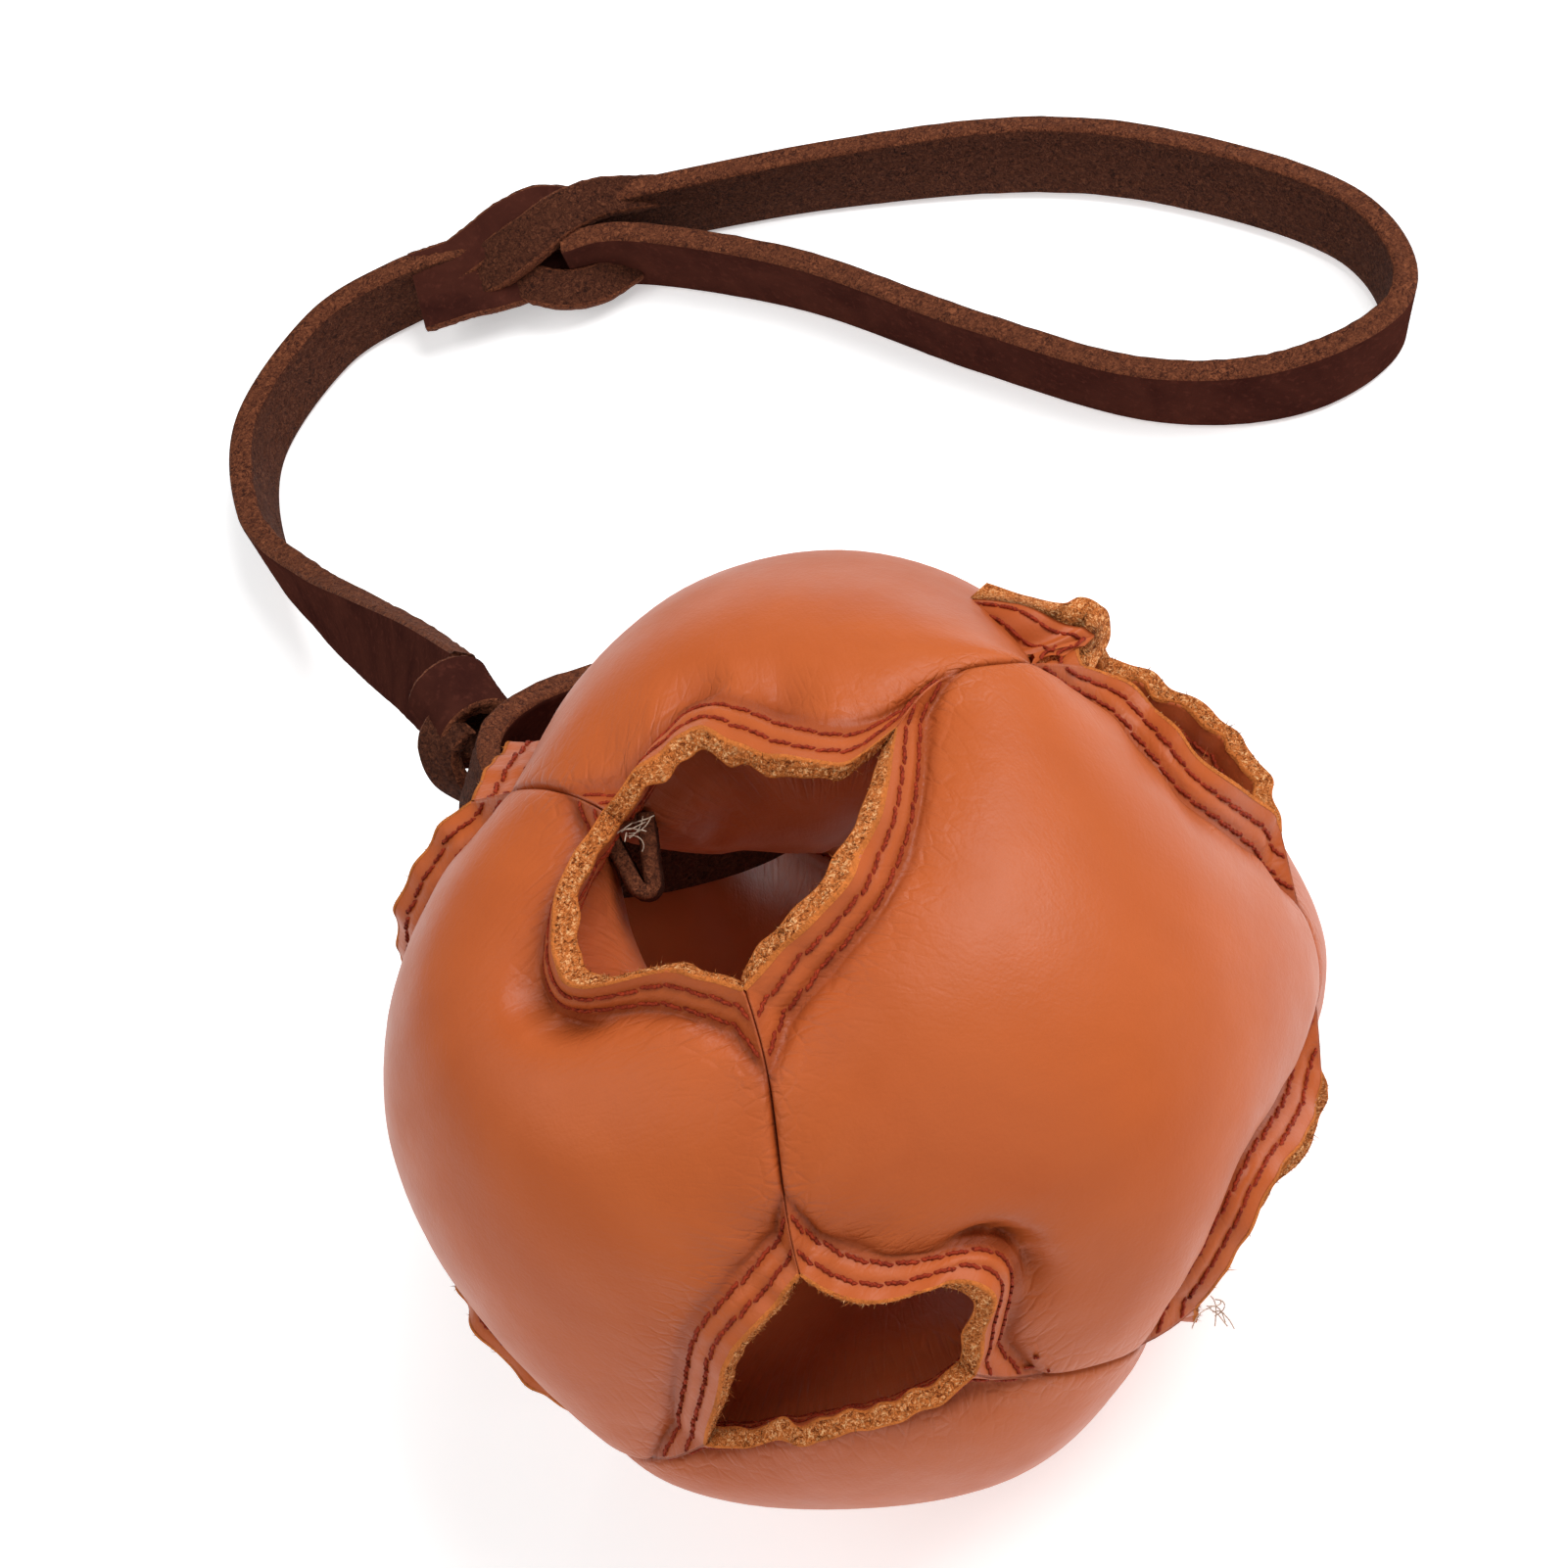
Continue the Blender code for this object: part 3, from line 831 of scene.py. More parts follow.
def strap_leather(name, light, dark, specular=0.5):
    """Oiled dark strap leather, its grain face."""
    p = Paint(name)
    colour = p.ramp(p.noise(90, 5, 0.65, warp=0.5), [(0.3, dark), (0.7, light)])
    worn = p.ramp(p.noise(900, 2, 0.6), [(0.55, 0.0), (0.75, 0.5)])
    colour = p.mix(worn, colour, tuple(c * 1.5 for c in light))
    normal = p.bump(p.cells(1500), 0.00006, 0.6)
    normal = p.bump(p.noise(420, 4, 0.6), 0.00016, 0.7, normal)
    gloss = p.ramp(p.noise(200, 4, 0.6), [(0.3, 0.42), (0.7, 0.60)])
    return p.finish(colour, gloss, normal, specular)


def thread_fibre(name, light, dark):
    p = Paint(name)
    twist = p.noise(1400, 3, 0.7, warp=1.5)
    colour = p.ramp(twist, [(0.35, dark), (0.68, light)])
    return p.finish(colour, p.ramp(twist, [(0.3, 0.75), (0.7, 0.55)]), p.bump(twist, 0.0002, 0.8), 0.12)


# the third colour of each is the painted shade colour, mixed in at creases, seams, folds, stitch grooves and
# wrinkle grooves
PANEL = panel_leather(
    "panel_leather", (0.46, 0.100, 0.023), (0.39, 0.078, 0.017), (0.17, 0.025, 0.008), 0.20
)
LINING = panel_leather(
    "lining_leather", (0.56, 0.125, 0.034), (0.46, 0.095, 0.026), (0.18, 0.026, 0.009), 0.3
)
RAW = suede_leather("raw_edge", (0.95, 0.56, 0.26), (0.58, 0.165, 0.036), (0.10, 0.016, 0.006), 1600, 0.00038)
THREAD = thread_fibre("stitch_thread", (0.38, 0.042, 0.012), (0.12, 0.011, 0.004))
PALE_THREAD = thread_fibre("loose_thread", (0.62, 0.50, 0.40), (0.28, 0.18, 0.12))
STRAP_GRAIN = strap_leather("strap_grain", (0.062, 0.018, 0.012), (0.031, 0.009, 0.007), 0.0)
STRAP_SUEDE = suede_leather(
    "strap_suede", (0.135, 0.045, 0.022), (0.068, 0.021, 0.011), (0.018, 0.0065, 0.0048), 1400, 0.00035
)
STRAP_EDGE = suede_leather(
    "strap_edge", (0.24, 0.078, 0.034), (0.120, 0.036, 0.017), (0.030, 0.010, 0.007), 1300, 0.00035
)


# ---- meshes ----
def add_piece(name, points, faces, surfaces, body, slot, surface_of=None, **values):
    """A smooth piece. surface_of says which surface each face has; values are attributes of its points."""
    mesh = bpy.data.meshes.new(name)
    mesh.from_pydata(points.tolist(), [], faces)
    for surface in surfaces:
        mesh.materials.append(surface)
    if surface_of is not None:
        mesh.polygons.foreach_set("material_index", np.array(surface_of, np.int32))
    mesh.polygons.foreach_set("use_smooth", np.ones(len(faces), bool))
    for key, value in values.items():
        value = value.astype(np.float32)
        kind = "FLOAT" if value.ndim == 1 else "FLOAT_VECTOR"
        layer = mesh.attributes.new(key, kind, "POINT")
        layer.data.foreach_set("value" if value.ndim == 1 else "vector", value.ravel())
    mesh.update()
    made = bpy.data.objects.new(name, mesh)
    bpy.context.scene.collection.objects.link(made)
    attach(made, body)
    return made


def grid_faces(rows, columns, closed=False, first=0):
    """Quads of a grid whose points are numbered row by row."""
    i, j = np.meshgrid(np.arange(rows - 1), np.arange(columns if closed else columns - 1), indexing="ij")
    k = (j + 1) % columns
    low = i * columns
    high = low + columns
    return np.stack([low + j, high + j, high + k, low + k], axis=-1).reshape(-1, 4) + first


def tuples(*blocks):
    return [tuple(face) for block in blocks for face in block.tolist()]


def unit(vectors):
    return vectors / np.linalg.norm(vectors, axis=-1)[..., None]


def run_along(line):
    """How far each point of a line is along it."""
    return np.concatenate([[0], np.cumsum(np.linalg.norm(np.diff(line, axis=0), axis=1))])


def read(at, places, values):
    """Rows of values, read between their places."""
    return np.stack([np.interp(at, places, column) for column in values.T], axis=1)


def smooth_path(points, steps):
    """Catmull-Rom through the points."""
    spots = np.array(points, float)
    ends = np.concatenate([spots[:1], spots, spots[-1:]])
    line = []
    for i in range(len(spots) - 1):
        p0, p1, p2, p3 = ends[i:i + 4]
        for step in range(steps):
            t = step / steps
            bend = 2 * p1 + (p2 - p0) * t + (2 * p0 - 5 * p1 + 4 * p2 - p3) * t * t
            line.append((bend + (3 * p1 - p0 - 3 * p2 + p3) * t ** 3) / 2)
    line.append(spots[-1])
    return np.array(line)


# ---- pods ----
SIDE_STEPS = 40
RING_SIZES = [0.36] * 2 + [0.45] * 16 + [0.9] * 9 + [1.7] * 13    # from the rim in, in millimetres


def ring_shares():
    """From the middle out to the rim."""
    reach = np.concatenate([[0], np.cumsum(RING_SIZES)]) * MM / 0.0402
    shares = 1 - reach[::-1]
    return shares[shares > 0.02]


def build_pod(pod):
    rim = rim_points(SIDE_STEPS)
    shares = ring_shares()
    count = len(rim)
    x = np.concatenate([[0.0], (shares[:, None] * rim[None, :, 0]).ravel()])
    y = np.concatenate([[0.0], (shares[:, None] * rim[None, :, 1]).ravel()])
    outer = final_skin(pod, x, y, 1)
    inner = final_skin(pod, x, y, -1)
    turn = np.arange(count)
    after = (turn + 1) % count
    total = len(x)
    last = total - count
    fan = np.stack([np.zeros(count, int), 1 + turn, 1 + after], axis=-1)
    one = tuples(fan, grid_faces(len(shares), count, True, 1))
    two = [tuple(total + i for i in face[::-1]) for face in one]
    side = tuples(np.stack([last + turn, last + total + turn, last + total + after, last + after], axis=-1))
    inset = edge_frame(pod, x, y)[3]
    beyond = inset - FLANGE_WIDTH
    seam = seam_distance(x, y)
    near_flange = np.exp(-np.abs(beyond - 0.0015) / 0.0032)
    wrinkle = np.clip(0.95 * near_flange + 0.2 * np.exp(-seam / 0.005) + 0.05, 0, 1)
    # painted shade, stored as the crease attribute: darker at the foot of each flange, along the seams, in
    # the stitch grooves (partly grime there too) and in the folds behind the flanges
    crease = 0.55 * np.exp(-(beyond / 0.0012) ** 2) + 0.22 * np.exp(-seam / 0.0007)
    for row in ROW_INSETS:
        crease += 0.32 * np.exp(-((inset - row) / 0.0007) ** 2)
    crease += 0.50 * dented(pod, x, y)[1] ** 2 * smooth_step(0.006, 0.0, np.abs(beyond - 0.001))
    angle = np.concatenate([[0.0], np.tile(turn / count * 2 * math.pi, len(shares))])
    radius = 8 * 0.0333 / (2 * math.pi)
    out = np.hypot(x, y) + list(PODS).index(pod)
    pleat = np.stack([np.cos(angle) * radius, np.sin(angle) * radius, out], axis=-1)
    made = add_piece(
        pod + "_pod",
        np.concatenate([outer, inner]),
        one + two + side,
        [PANEL, LINING],
        "ball",
        "panel_leather",
        surface_of=[0] * len(one) + [1] * len(two + side),
        crease=np.tile(crease, 2),
        wrinkle=np.tile(wrinkle, 2),
        pleat=np.tile(pleat, (2, 1)),
    )
    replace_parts(made, pod + "_pod_outer_panel", pod + "_pod_lining", pod + "_pod_filling")


# ---- raw edges ----
FIBRE_SIDES = ((0, 1, 3), (1, 2, 3), (2, 0, 3), (2, 1, 0))


def build_raw_edges(opening):
    """The cut edges of the three flanges round an opening: two layers of leather, suede to suede."""
    points, faces, bare = [], [], []
    first = 0
    draw = np.random.default_rng(200 + list(OPENINGS).index(opening))
    fuzz = Waves(0.0009, 300)
    grit = Waves(0.00045, 301, count=20)
    rounded = np.array([0.84, 0.92, 1.0, 1.04])
    level = np.concatenate([-rounded[::-1], np.linspace(-0.72, 0.72, 9), rounded])
    part = np.linspace(-1.0, 1.0, 110)
    for pod in pods_round(opening):
        x, y = flange_point(pod, opening, part, 0.0)
        deep_x, deep_y = flange_point(pod, opening, part, 0.0008)
        high, low = final_skin(pod, x, y, 1), final_skin(pod, x, y, -1)
        back_high, back_low = final_skin(pod, deep_x, deep_y, 1), final_skin(pod, deep_x, deep_y, -1)
        way = unit((high + low) / 2 - (back_high + back_low) / 2)
        share = (np.clip(level, -1, 1)[None, :, None] + 1) / 2
        flat = low[:, None] * (1 - share) + high[:, None] * share
        spread = np.abs(level)
        rise = 0.00022 * (1 - spread ** 4) + np.where(spread > 0.8, 0.00005, 0)
        rise = np.where(spread > 1, -0.0004, rise)
        nap = np.clip((0.86 - spread) / 0.12, 0, 1)
        wave = fuzz(flat + 0.3) * 0.00010 + grit(flat + 0.7) * 0.00011
        flat = flat + way[:, None] * (rise + wave * nap)[..., None]
        lift_off = np.where(spread > 1, 0.00006, 0.0) * np.sign(level)
        flat = flat + (high - low)[:, None] / (2 * SKIN) * lift_off[None, :, None]
        points.append(flat.reshape(-1, 3))
        faces += tuples(grid_faces(len(part), len(level), False, first))
        bare.append(np.tile(1 - nap, len(part)))
        first += flat.shape[0] * flat.shape[1]
        # fibres that stand off the cut
        count = 240
        along = draw.uniform(0, len(part) - 1.001, count)
        across = draw.uniform(-0.85, 0.85, count)
        i = along.astype(int)
        share = (across[:, None] + 1) / 2
        root = (low[i] * (1 - share) + high[i] * share) + way[i] * 0.0001
        up = unit(high[i] - low[i])
        beside = np.cross(up, way[i])
        lean = way[i] * draw.uniform(0.25, 1.0, (count, 1)) + beside * draw.normal(0, 0.7, (count, 1))
        lean = unit(lean + up * draw.normal(0, 0.7, (count, 1)))
        size = draw.uniform(0.0005, 0.0010, (count, 1)) * (1 + (draw.uniform(size=(count, 1)) > 0.96) * 1.3)
        thick = draw.uniform(0.00007, 0.00012, (count, 1))
        tip = root + lean * size + beside * draw.normal(0, 0.00018, (count, 1))
        ring = [root + beside * thick, root + up * thick, root - beside * thick, tip]
        points.append(np.stack(ring, axis=1).reshape(-1, 3))
        base = first + 4 * np.arange(count)[:, None]
        faces += tuples(*(base + np.array(side) for side in FIBRE_SIDES))
        bare.append(np.zeros(4 * count))
        first += 4 * count
    points, bare = np.concatenate(points), np.concatenate(bare)
    add_piece(opening + "_raw_edge", points, faces, [RAW], "ball", "panel_leather", bare=bare)


# ---- threads ----
STITCH_PITCH = 0.0030
THREAD_R = 0.00026
STITCH_STEPS = np.linspace(0, 1, 13)
STITCH_RADII = THREAD_R * np.array([0.6] + [0.9, 1.15] * 5 + [0.9, 0.6])    # twisted, with thin ends
STITCH_HUMP = np.sin(STITCH_STEPS * math.pi) ** 0.35 * 0.00024


def tubes(lines, radii, sides):
    """Tubes round many short lines of the same number of points, with pointed ends."""
    count, steps = lines.shape[:2]
    along = np.gradient(lines, axis=1)
    along /= np.maximum(np.linalg.norm(along, axis=2), 1e-12)[..., None]
    helper = np.where(np.abs(along[..., 2:3]) > 0.9, np.array([1.0, 0, 0]), np.array([0, 0, 1.0]))
    side = unit(np.cross(along, helper))
    other = np.cross(along, side)
    turn = (np.arange(sides) / sides * 2 * math.pi)[:, None]
    ring = side[:, :, None] * np.cos(turn) + other[:, :, None] * np.sin(turn)
    points = lines[:, :, None] + ring * radii[:, None, None]
    one = tuples(grid_faces(steps, sides, True)[:, ::-1])
    one += [tuple(range(sides)), tuple(range(steps * sides - 1, (steps - 1) * sides - 1, -1))]
    size = steps * sides
    faces = [tuple(first + i for i in face) for first in range(0, count * size, size) for face in one]
    return points.reshape(-1, 3), faces


def add_threads(name, lines, radii, paint, sides=6):
    points, faces = tubes(lines, radii, sides)
    return add_piece(name, points, faces, [paint], "ball", "stitch_thread")


def build_stitches(opening):
    draw = np.random.default_rng(500 + list(OPENINGS).index(opening))
    steps = STITCH_STEPS
    lines = []
    for pod in pods_round(opening):
        for row in ROW_INSETS:
            for layer in (1, -1):
                fine = np.linspace(-1.6, 1.6, 641)
                x, y = flange_point(pod, opening, fine, row)
                across = row / np.sqrt(1 + tilt_at(pod, x, y) ** 2)
                x, y = flange_point(pod, opening, fine, across)
                inside = np.maximum(np.abs(x), np.abs(y)) < SEAM_HALF - 0.0006
                x, y = x[inside], y[inside]
                run = run_along(final_skin(pod, x, y, layer))
                number = int(run[-1] / STITCH_PITCH)
                pitch = run[-1] / number
                starts = (np.arange(number) + draw.uniform(0.0, 0.02, number)) * pitch
                at = (starts[:, None] + steps * pitch * 0.98).ravel()
                px, py = np.interp(at, run, x), np.interp(at, run, y)
                aside = np.repeat(draw.normal(0, 0.00008, number), len(steps))
                lean = np.repeat(draw.normal(0.0004, 0.00012, number), len(steps))
                slant = np.tile(steps - 0.5, number) * lean
                twist = np.tile(0.00010 * np.cos(steps * 6 * math.pi), number)
                toward = -(aside + slant + twist) / ROOT_2
                px, py = px + np.sign(px) * toward, py + np.sign(py) * toward
                spot, normal = across_step(lambda u, v: final_skin(pod, u, v, layer), px, py)
                hump = np.tile(STITCH_HUMP - 0.00010, number)
                lines.append((spot + normal * layer * hump[:, None]).reshape(number, len(steps), 3))
    made = add_threads(opening + "_stitches", np.concatenate(lines), STITCH_RADII, THREAD)
    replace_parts(made, opening + "_opening_stitching")


# ---- a lapel of leather: the top pod's flange turned up beside the seam with the front pod ----
# its raw edge and its foot, in millimetres from the ball's centre
LAPEL_RIM = [
    (49.6, 4.6, 35.4),
    (53.2, 5.8, 32.8),
    (56.9, 7.8, 31.8),
    (56.7, 9.2, 34.8),
    (53.3, 11.1, 37.9),
    (49.7, 16.0, 37.9),
    (45.9, 22.2, 36.5),
]
LAPEL_FOOT = [
    (43.0, 4.7, 38.5),
    (44.1, 7.1, 37.6),
    (44.5, 9.1, 37.5),
    (44.2, 11.3, 37.5),
    (43.6, 14.3, 36.7),
    (43.3, 18.0, 35.3),
    (43.1, 22.2, 33.0),
]
LAPEL_THICK = 0.0034
LAPEL_STEPS = 60
LAPEL_ACROSS = 16
LAPEL_ROWS = (0.24, 0.70)   # places of its rows of stitches, from the raw edge to the foot


def lapel_line(spots):
    line = smooth_path(spots, 12) * MM + CENTRE
    return read(np.linspace(0, 1, LAPEL_STEPS), np.linspace(0, 1, len(line)), line)


def build_lapel(name):
    """A flange of two layers between two curves, its raw edge along the first, with two rows of stitches."""
    rim, foot = lapel_line(LAPEL_RIM), lapel_line(LAPEL_FOOT)
    steps, across = LAPEL_STEPS, LAPEL_ACROSS
    share = np.linspace(0, 1, across)[None, :, None]
    flat = rim[:, None] * (1 - share) + foot[:, None] * share
    normal = unit(np.cross(np.gradient(rim, axis=0), foot - rim))
    if normal[steps // 2] @ np.array([0.0, -0.5, 0.85]) < 0:
        normal = -normal
    ripple = LONG_WAVES[0](np.linspace(0, 1, steps)[:, None] * 0.03)[:, None, None] * 0.0004 * (1 - share)
    bulge = normal[:, None] * (np.sin(share * math.pi) * 0.0008) + normal[:, None] * ripple
    set_back = rim[:, None] * (0.70 - 0.70 * share) + foot[:, None] * (0.30 + 0.70 * share)
    front = set_back + bulge + normal[:, None] * LAPEL_THICK / 2
    back = flat + bulge - normal[:, None] * LAPEL_THICK / 2
    half = steps * across
    quads = grid_faces(steps, across)
    facing = np.cross(front[1, 0] - front[0, 0], front[0, 1] - front[0, 0]) @ normal[0] > 0
    one, two = (quads, quads[:, ::-1] + half) if facing else (quads[:, ::-1], quads + half)
    i = np.arange(steps - 1) * across
    rims = np.stack([i, i + across, i + across + half, i + half], axis=1)
    feet = rims[:, ::-1] + across - 1
    j = np.arange(across - 1)
    near = np.stack([j, j + half, j + half + 1, j + 1], axis=1)
    far = np.stack([j, j + 1, j + half + 1, j + half], axis=1) + half - across
    kinds = ((one, 0), (two, 1), (rims, 2), (feet, 0), (near, 2), (far, 2))
    add_piece(
        name,
        np.concatenate([front.reshape(-1, 3), back.reshape(-1, 3)]),
        tuples(*(block for block, kind in kinds)),
        [PANEL, LINING, RAW],
        "ball",
        "panel_leather",
        surface_of=[kind for block, kind in kinds for _ in block],
    )
    rows = []
    for row in LAPEL_ROWS:
        line = front[:, int(row * (across - 1))]
        run = run_along(line)
        number = max(1, int(run[-1] / STITCH_PITCH))
        at = (np.arange(number)[:, None] + np.linspace(0.02, 0.98, 13)).ravel() / number * run[-1]
        hump = np.tile(STITCH_HUMP - 0.00008, number)
        spots = read(at, run, line) + read(at, run, normal) * hump[:, None]
        rows.append(spots.reshape(number, 13, 3))
    add_threads(name + "_stitches", np.concatenate(rows), STITCH_RADII, THREAD)


# ---- strap: routes as in the CAD ----
STRAP_W = 0.014
STRAP_T = 0.004
ON_TABLE = STRAP_W / 2 + 0.0003
UP = (0.0, 0.0, 1.0)
LEAD = [
    (-0.0177, 0.0770, 0.0660),
    (-0.0195, 0.0990, 0.0480),
    (-0.0225, 0.1230, 0.0295),
    (-0.0255, 0.1450, 0.0160),
    (-0.0270, 0.1680, 0.0090),
    (-0.0180, 0.1880, ON_TABLE),
    (0.0020, 0.1980, ON_TABLE),
    (0.0180, 0.1970, ON_TABLE),
    (0.0280, 0.1932, ON_TABLE),
]
HAND_LOOP = [
    (0.0572, 0.1825, ON_TABLE),
    (0.0880, 0.1640, ON_TABLE),
    (0.1170, 0.1420, ON_TABLE),
    (0.1350, 0.1190, ON_TABLE),
    (0.1470, 0.0920, ON_TABLE),
    (0.1420, 0.0735, ON_TABLE),
    (0.1230, 0.0740, ON_TABLE),
    (0.1040, 0.0890, ON_TABLE),
    (0.0880, 0.1170, ON_TABLE),
    (0.0730, 0.1480, ON_TABLE),
    (0.0545, 0.1735, ON_TABLE),
    (0.0440, 0.1800, ON_TABLE),    # tucked under the join
]


def section(width, thick, rounding, wide_steps=14, thin_steps=5):
    """Closed outline of a strap's section, across and through it, and which face each side belongs to."""
    w, t, r = width / 2, thick / 2, rounding
    points, kinds = [], []
    runs = (
        ((-w + r, -t), (w - r, -t), wide_steps, 0),
        ((w, -t + r), (w, t - r), thin_steps, 2),
        ((w - r, t), (-w + r, t), wide_steps, 1),
        ((-w, t - r), (-w, -t + r), thin_steps, 2),
    )
    for start, end, steps, kind in runs:
        for step in range(steps):
            part = step / (steps - 1)
            points.append((start[0] + (end[0] - start[0]) * part, start[1] + (end[1] - start[1]) * part))
            kinds.append(kind if step < steps - 1 else 2)
    return np.array(points), kinds


STRAP_NAP = Waves(0.0011, 400, count=24)


def ribbon(line, wide, width=STRAP_W, thick=STRAP_T, closed=False, taper=None):
    """A strap lofted along a line: grain face on the left of the way it runs, suede face on the right."""
    line = np.asarray(line)
    count = len(line)
    if closed:
        along = np.roll(line, -1, axis=0) - np.roll(line, 1, axis=0)
    else:
        along = np.gradient(line, axis=0)
    along = unit(along)
    wide = np.asarray(wide, float) * np.ones((count, 1))
    wide = unit(wide - along * (wide * along).sum(axis=1)[:, None])
    thin = np.cross(along, wide)
    shape, kinds = section(width, thick, 0.0005)
    size = np.ones(count) if taper is None else taper
    points = line[:, None] + wide[:, None] * (shape[None, :, :1] * size[:, None, None])
    points = points + thin[:, None] * shape[None, :, 1:]
    outward = np.array([(0, -1) if k == 0 else (0, 1) if k == 1 else (0, 0) for k in kinds], float)
    nap = STRAP_NAP(points) * 0.00012
    suede = np.array([0.25 if k == 0 else 1.0 for k in kinds])
    edge = np.abs(shape[:, 0]) > width / 2 - 0.0004
    points = points + thin[:, None] * (outward[:, 1] * suede)[None, :, None] * nap[..., None]
    points = points + wide[:, None] * (np.sign(shape[:, 0]) * edge)[None, :, None] * (nap * 0.9)[..., None]
    number = len(shape)
    faces = grid_faces(count + 1 if closed else count, number, True)
    if closed:
        faces = faces % (count * number)
    surface_of = np.tile(kinds, count if closed else count - 1)
    quads = tuples(faces[:, ::-1])
    kinds_of = surface_of.tolist()
    if not closed:
        last = (count - 1) * number
        quads += [tuple(range(number)), tuple(last + i for i in reversed(range(number)))]
        kinds_of += [2, 2]
    return points.reshape(-1, 3), quads, kinds_of


def join_ribbons(name, ribbons, body):
    points, faces, kinds = [], [], []
    first = 0
    for spots, quads, kinds_of in ribbons:
        points.append(spots)
        faces += [tuple(first + i for i in face) for face in quads]
        kinds += kinds_of
        first += len(spots)
    surfaces = [STRAP_GRAIN, STRAP_SUEDE, STRAP_EDGE]
    return add_piece(name, np.concatenate(points), faces, surfaces, body, "strap_leather", surface_of=kinds)


def build_strap():
    lead = smooth_path(LEAD, 14)
    start = np.array((0.75, 0.30, 0.60))
    share = np.clip(np.arange(len(lead)) / 56, 0, 1)[:, None]
    lead_wide = start * (1 - share) + np.array(UP) * share
    loop = smooth_path(HAND_LOOP, 14)
    part = np.linspace(0, 1, len(loop))
    lean = 0.26 * smooth_step(0.04, 0.2, part) * smooth_step(0.55, 0.42, part)
    left = np.cross(np.array(UP), unit(np.gradient(loop, axis=0)))
    loop_wide = np.array(UP) + left * np.tan(lean)[:, None]
    through = np.linspace(lead[-1], loop[0], 10)[1:-1]
    route = np.concatenate([lead, through, loop])
    wides = np.concatenate([lead_wide, np.tile(UP, (len(through), 1)), loop_wide])
    strap = join_ribbons("wrist_strap", [ribbon(route, wides)], "strap")
    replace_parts(strap, "strap_lead", "strap_hand_loop")
    return strap, route, float(run_along(route)[-1])


strap, strap_route, strap_length = build_strap()

# the join of the hand loop: strands over and under each other
BRAID_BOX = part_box("strap_braid")
BRAID_CENTRE = (np.array(BRAID_BOX[0]) + np.array(BRAID_BOX[1])) / 2
BRAID_ALONG = np.array([0.9135, -0.4067, 0.0])
BRAID_FACE = np.array([-0.181, -0.406, 0.896])
BRAID_ACROSS = np.cross(BRAID_FACE, BRAID_ALONG)


def braid_strand(spots, width, thick, grain, end=1.0):
    """spots are along the join, across it and out of its face, in millimetres."""
    line = smooth_path(spots, 8) * MM
    line = BRAID_CENTRE + line[:, :1] * BRAID_ALONG + line[:, 1:2] * BRAID_ACROSS + line[:, 2:] * BRAID_FACE
    taper = np.interp(np.linspace(0, 1, len(line)), (0, 0.15, 1), (1, 1, end))
    return ribbon(line, -BRAID_ACROSS if grain else BRAID_ACROSS, width=width, thick=thick, taper=taper)


TAIL = [(-23.2, -2.3, 4.2), (-19, -2.3, 4.6), (-14, -2.2, 4.8), (-10, -2.4, 4.0)]
FAR_SIDE = [(-17, 0.5, 4.7), (-11, 2.6, 5.2), (-5, 5.0, 5.4), (1, 6.2, 4.4), (6, 5.2, 1.0)]
NEAR_SIDE = [(-16, -5.4, 4.6), (-9, -5.8, 4.4), (-3, -5.4, 3.0), (3, -5.2, 0.5)]
DIAGONAL = [
    (-15, -1.2, 3.0),
    (-9, -1.6, 5.2),
    (-2, 0.2, 7.2),
    (5, 3.0, 7.2),
    (11, 4.4, 5.4),
    (16, 4.2, 3.6),
    (21, 3.6, 1.6),
    (26, 3.2, -1.6),
]
UNDER_TURN = [(-7, -3.0, 3.2), (-3, -6.6, 4.0), (2, -9.0, 3.6), (8, -9.4, 2.6), (14, -7.0, 0.4)]
BRAID_STRANDS = [
    braid_strand(TAIL, 0.0142, 0.0026, True),
    braid_strand(FAR_SIDE, 0.0075, 0.0026, True),
    braid_strand(NEAR_SIDE, 0.0075, 0.0026, True),
    braid_strand(DIAGONAL, 0.0092, 0.0030, False, 0.55),
    braid_strand(UNDER_TURN, 0.0068, 0.0030, False),
]
braid = join_ribbons("strap_join", BRAID_STRANDS, "strap")
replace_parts(braid, "strap_braid")

for pod_name in PODS:
    build_pod(pod_name)
for opening_name in OPENINGS:
    build_raw_edges(opening_name)
    build_stitches(opening_name)

build_lapel("upper_right_lapel")

# ---- turn of strap round the bridge, its cut end, and the knot ----
BRIDGE_ALONG = np.array([math.sqrt(2 / 3), 0.0, -THIRD])
BRIDGE_ACROSS = np.array([THIRD, 0.0, math.sqrt(2 / 3)])
BRIDGE_OUT = np.array([0.0, 1.0, 0.0])
KNOT_R = 0.0045
angles = np.linspace(0, 2 * math.pi, 96, endpoint=False)


def squared(value):
    """A cosine or sine whose loop has fuller corners."""
    return (np.sign(value) * np.abs(value) ** 0.85)[:, None]


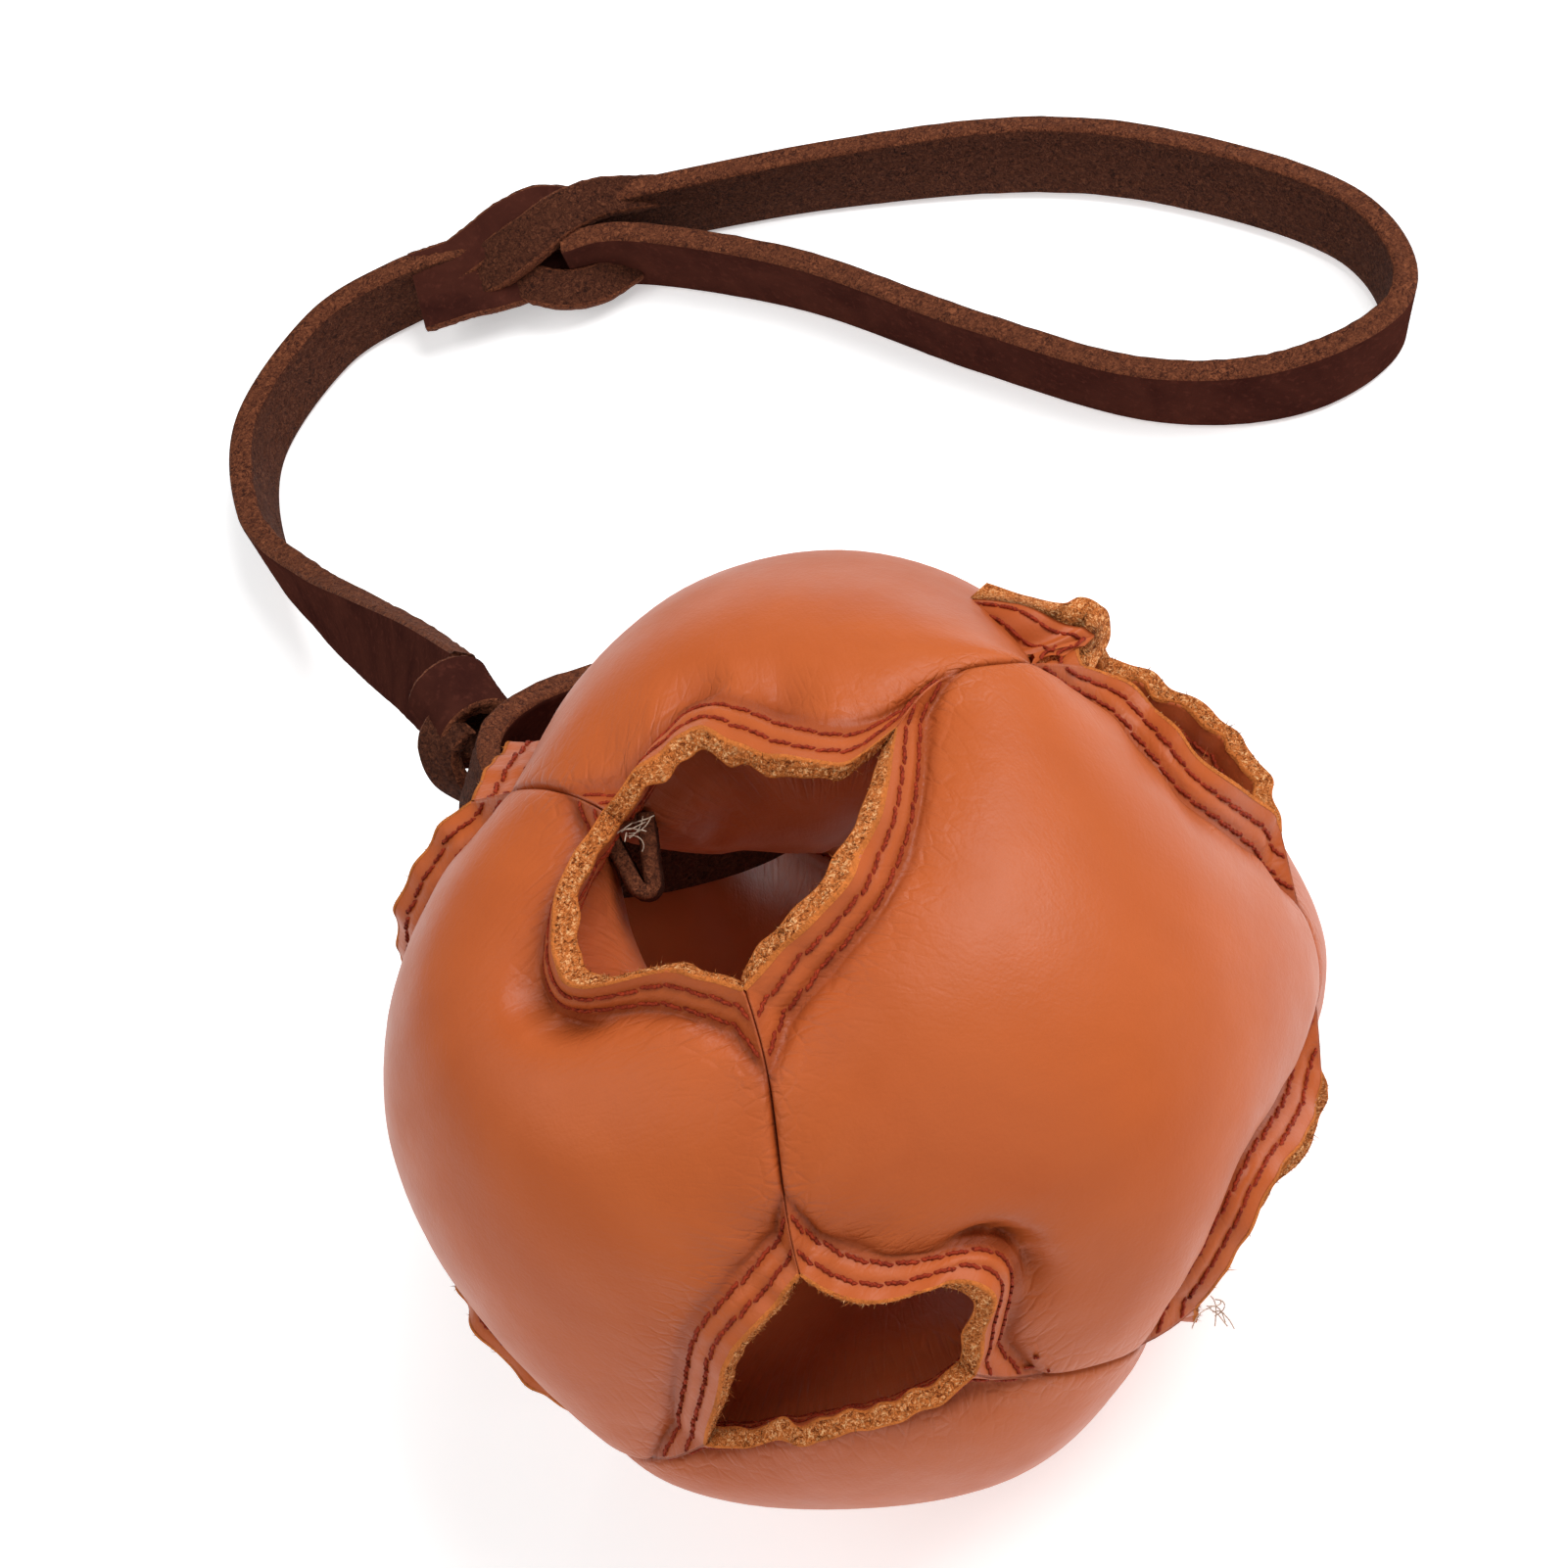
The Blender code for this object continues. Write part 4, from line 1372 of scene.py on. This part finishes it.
turn_line = BRIDGE_ALONG * 0.0275 * squared(np.cos(angles)) + CENTRE
turn_line = turn_line + BRIDGE_OUT * (0.0514 + 0.0154 * squared(np.sin(angles)))
end_line = smooth_path([(-1.5, -2.5, 3.5), (-5.6, -3.2, 1.0), (-7.0, -5.6, -3.4), (-5.0, -8.6, -8.2)], 8)
TIE_RIBBONS = [
    ribbon(turn_line, BRIDGE_ACROSS, width=0.013, thick=0.0034, closed=True),
    ribbon(
        end_line * MM + KNOT,
        (0.55, -0.75, 0.1),
        width=0.0075,
        thick=0.0026,
        taper=np.linspace(1, 0.6, len(end_line)),
    ),
]
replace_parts(join_ribbons("bridge_tie", TIE_RIBBONS, "ball"), "strap_tie")

knot_line = np.stack([KNOT_R * np.cos(angles), 0.001 * np.sin(angles), KNOT_R * np.sin(angles)], axis=-1)
knot_turn = ribbon(knot_line + KNOT, (0, 1, 0.2), width=0.009, thick=0.0032, closed=True)
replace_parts(join_ribbons("knot_ring", [knot_turn], "tie_knot"), "strap_knot")

# the strap's inner end, folded back on itself inside the ball by the seam of the left and top pods
INNER_END = [
    (-12.0, 18.6, 47.4),
    (-12.6, 14.2, 45.6),
    (-13.0, 10.2, 43.8),
    (-11.4, 9.6, 43.6),
    (-9.6, 12.4, 45.0),
    (-7.0, 16.6, 46.8),
]
inner_line = smooth_path(INNER_END, 8) * MM + CENTRE
inner_fold = ribbon(inner_line, (-0.05, -0.45, 0.89), width=0.0085, thick=0.0021)
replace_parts(join_ribbons("inner_strap_end", [inner_fold], "ball"), "strap_inner_end")


def loose_threads(name, place, out, paint, count, length, seed, radius=0.00008):
    """A few loose ends of thread, thrown out of one place and curling. place is from the ball's centre."""
    draw = np.random.default_rng(seed)
    lines = []
    for _ in range(count):
        way = unit(np.array(out) + draw.normal(0, 0.55, 3))
        bend = draw.normal(0, 1, 3)
        spot = np.array(place) * MM + draw.normal(0, 0.0007, 3)
        steps = []
        for _ in range(10):
            steps.append(spot)
            spot = spot + way * length * draw.uniform(0.6, 1.1) / 9
            way = unit(way + bend * 0.16 + draw.normal(0, 0.08, 3))
        lines.append(steps)
    add_threads(name, np.array(lines) + CENTRE, np.full(10, radius), paint, sides=5)


loose_threads("upper_thread_ends", (-10.8, 12.0, 54.5), (0.75, -0.5, 0.35), PALE_THREAD, 9, 0.0042, 71)
loose_threads("lower_right_thread_ends", (15.0, -61.2, -1.0), (0.6, -0.7, -0.1), PALE_THREAD, 7, 0.0048, 72)
loose_threads("front_thread_ends", (-7.0, -56.0, 6.0), (0.2, -0.6, 0.6), THREAD, 6, 0.0040, 73, 0.0002)
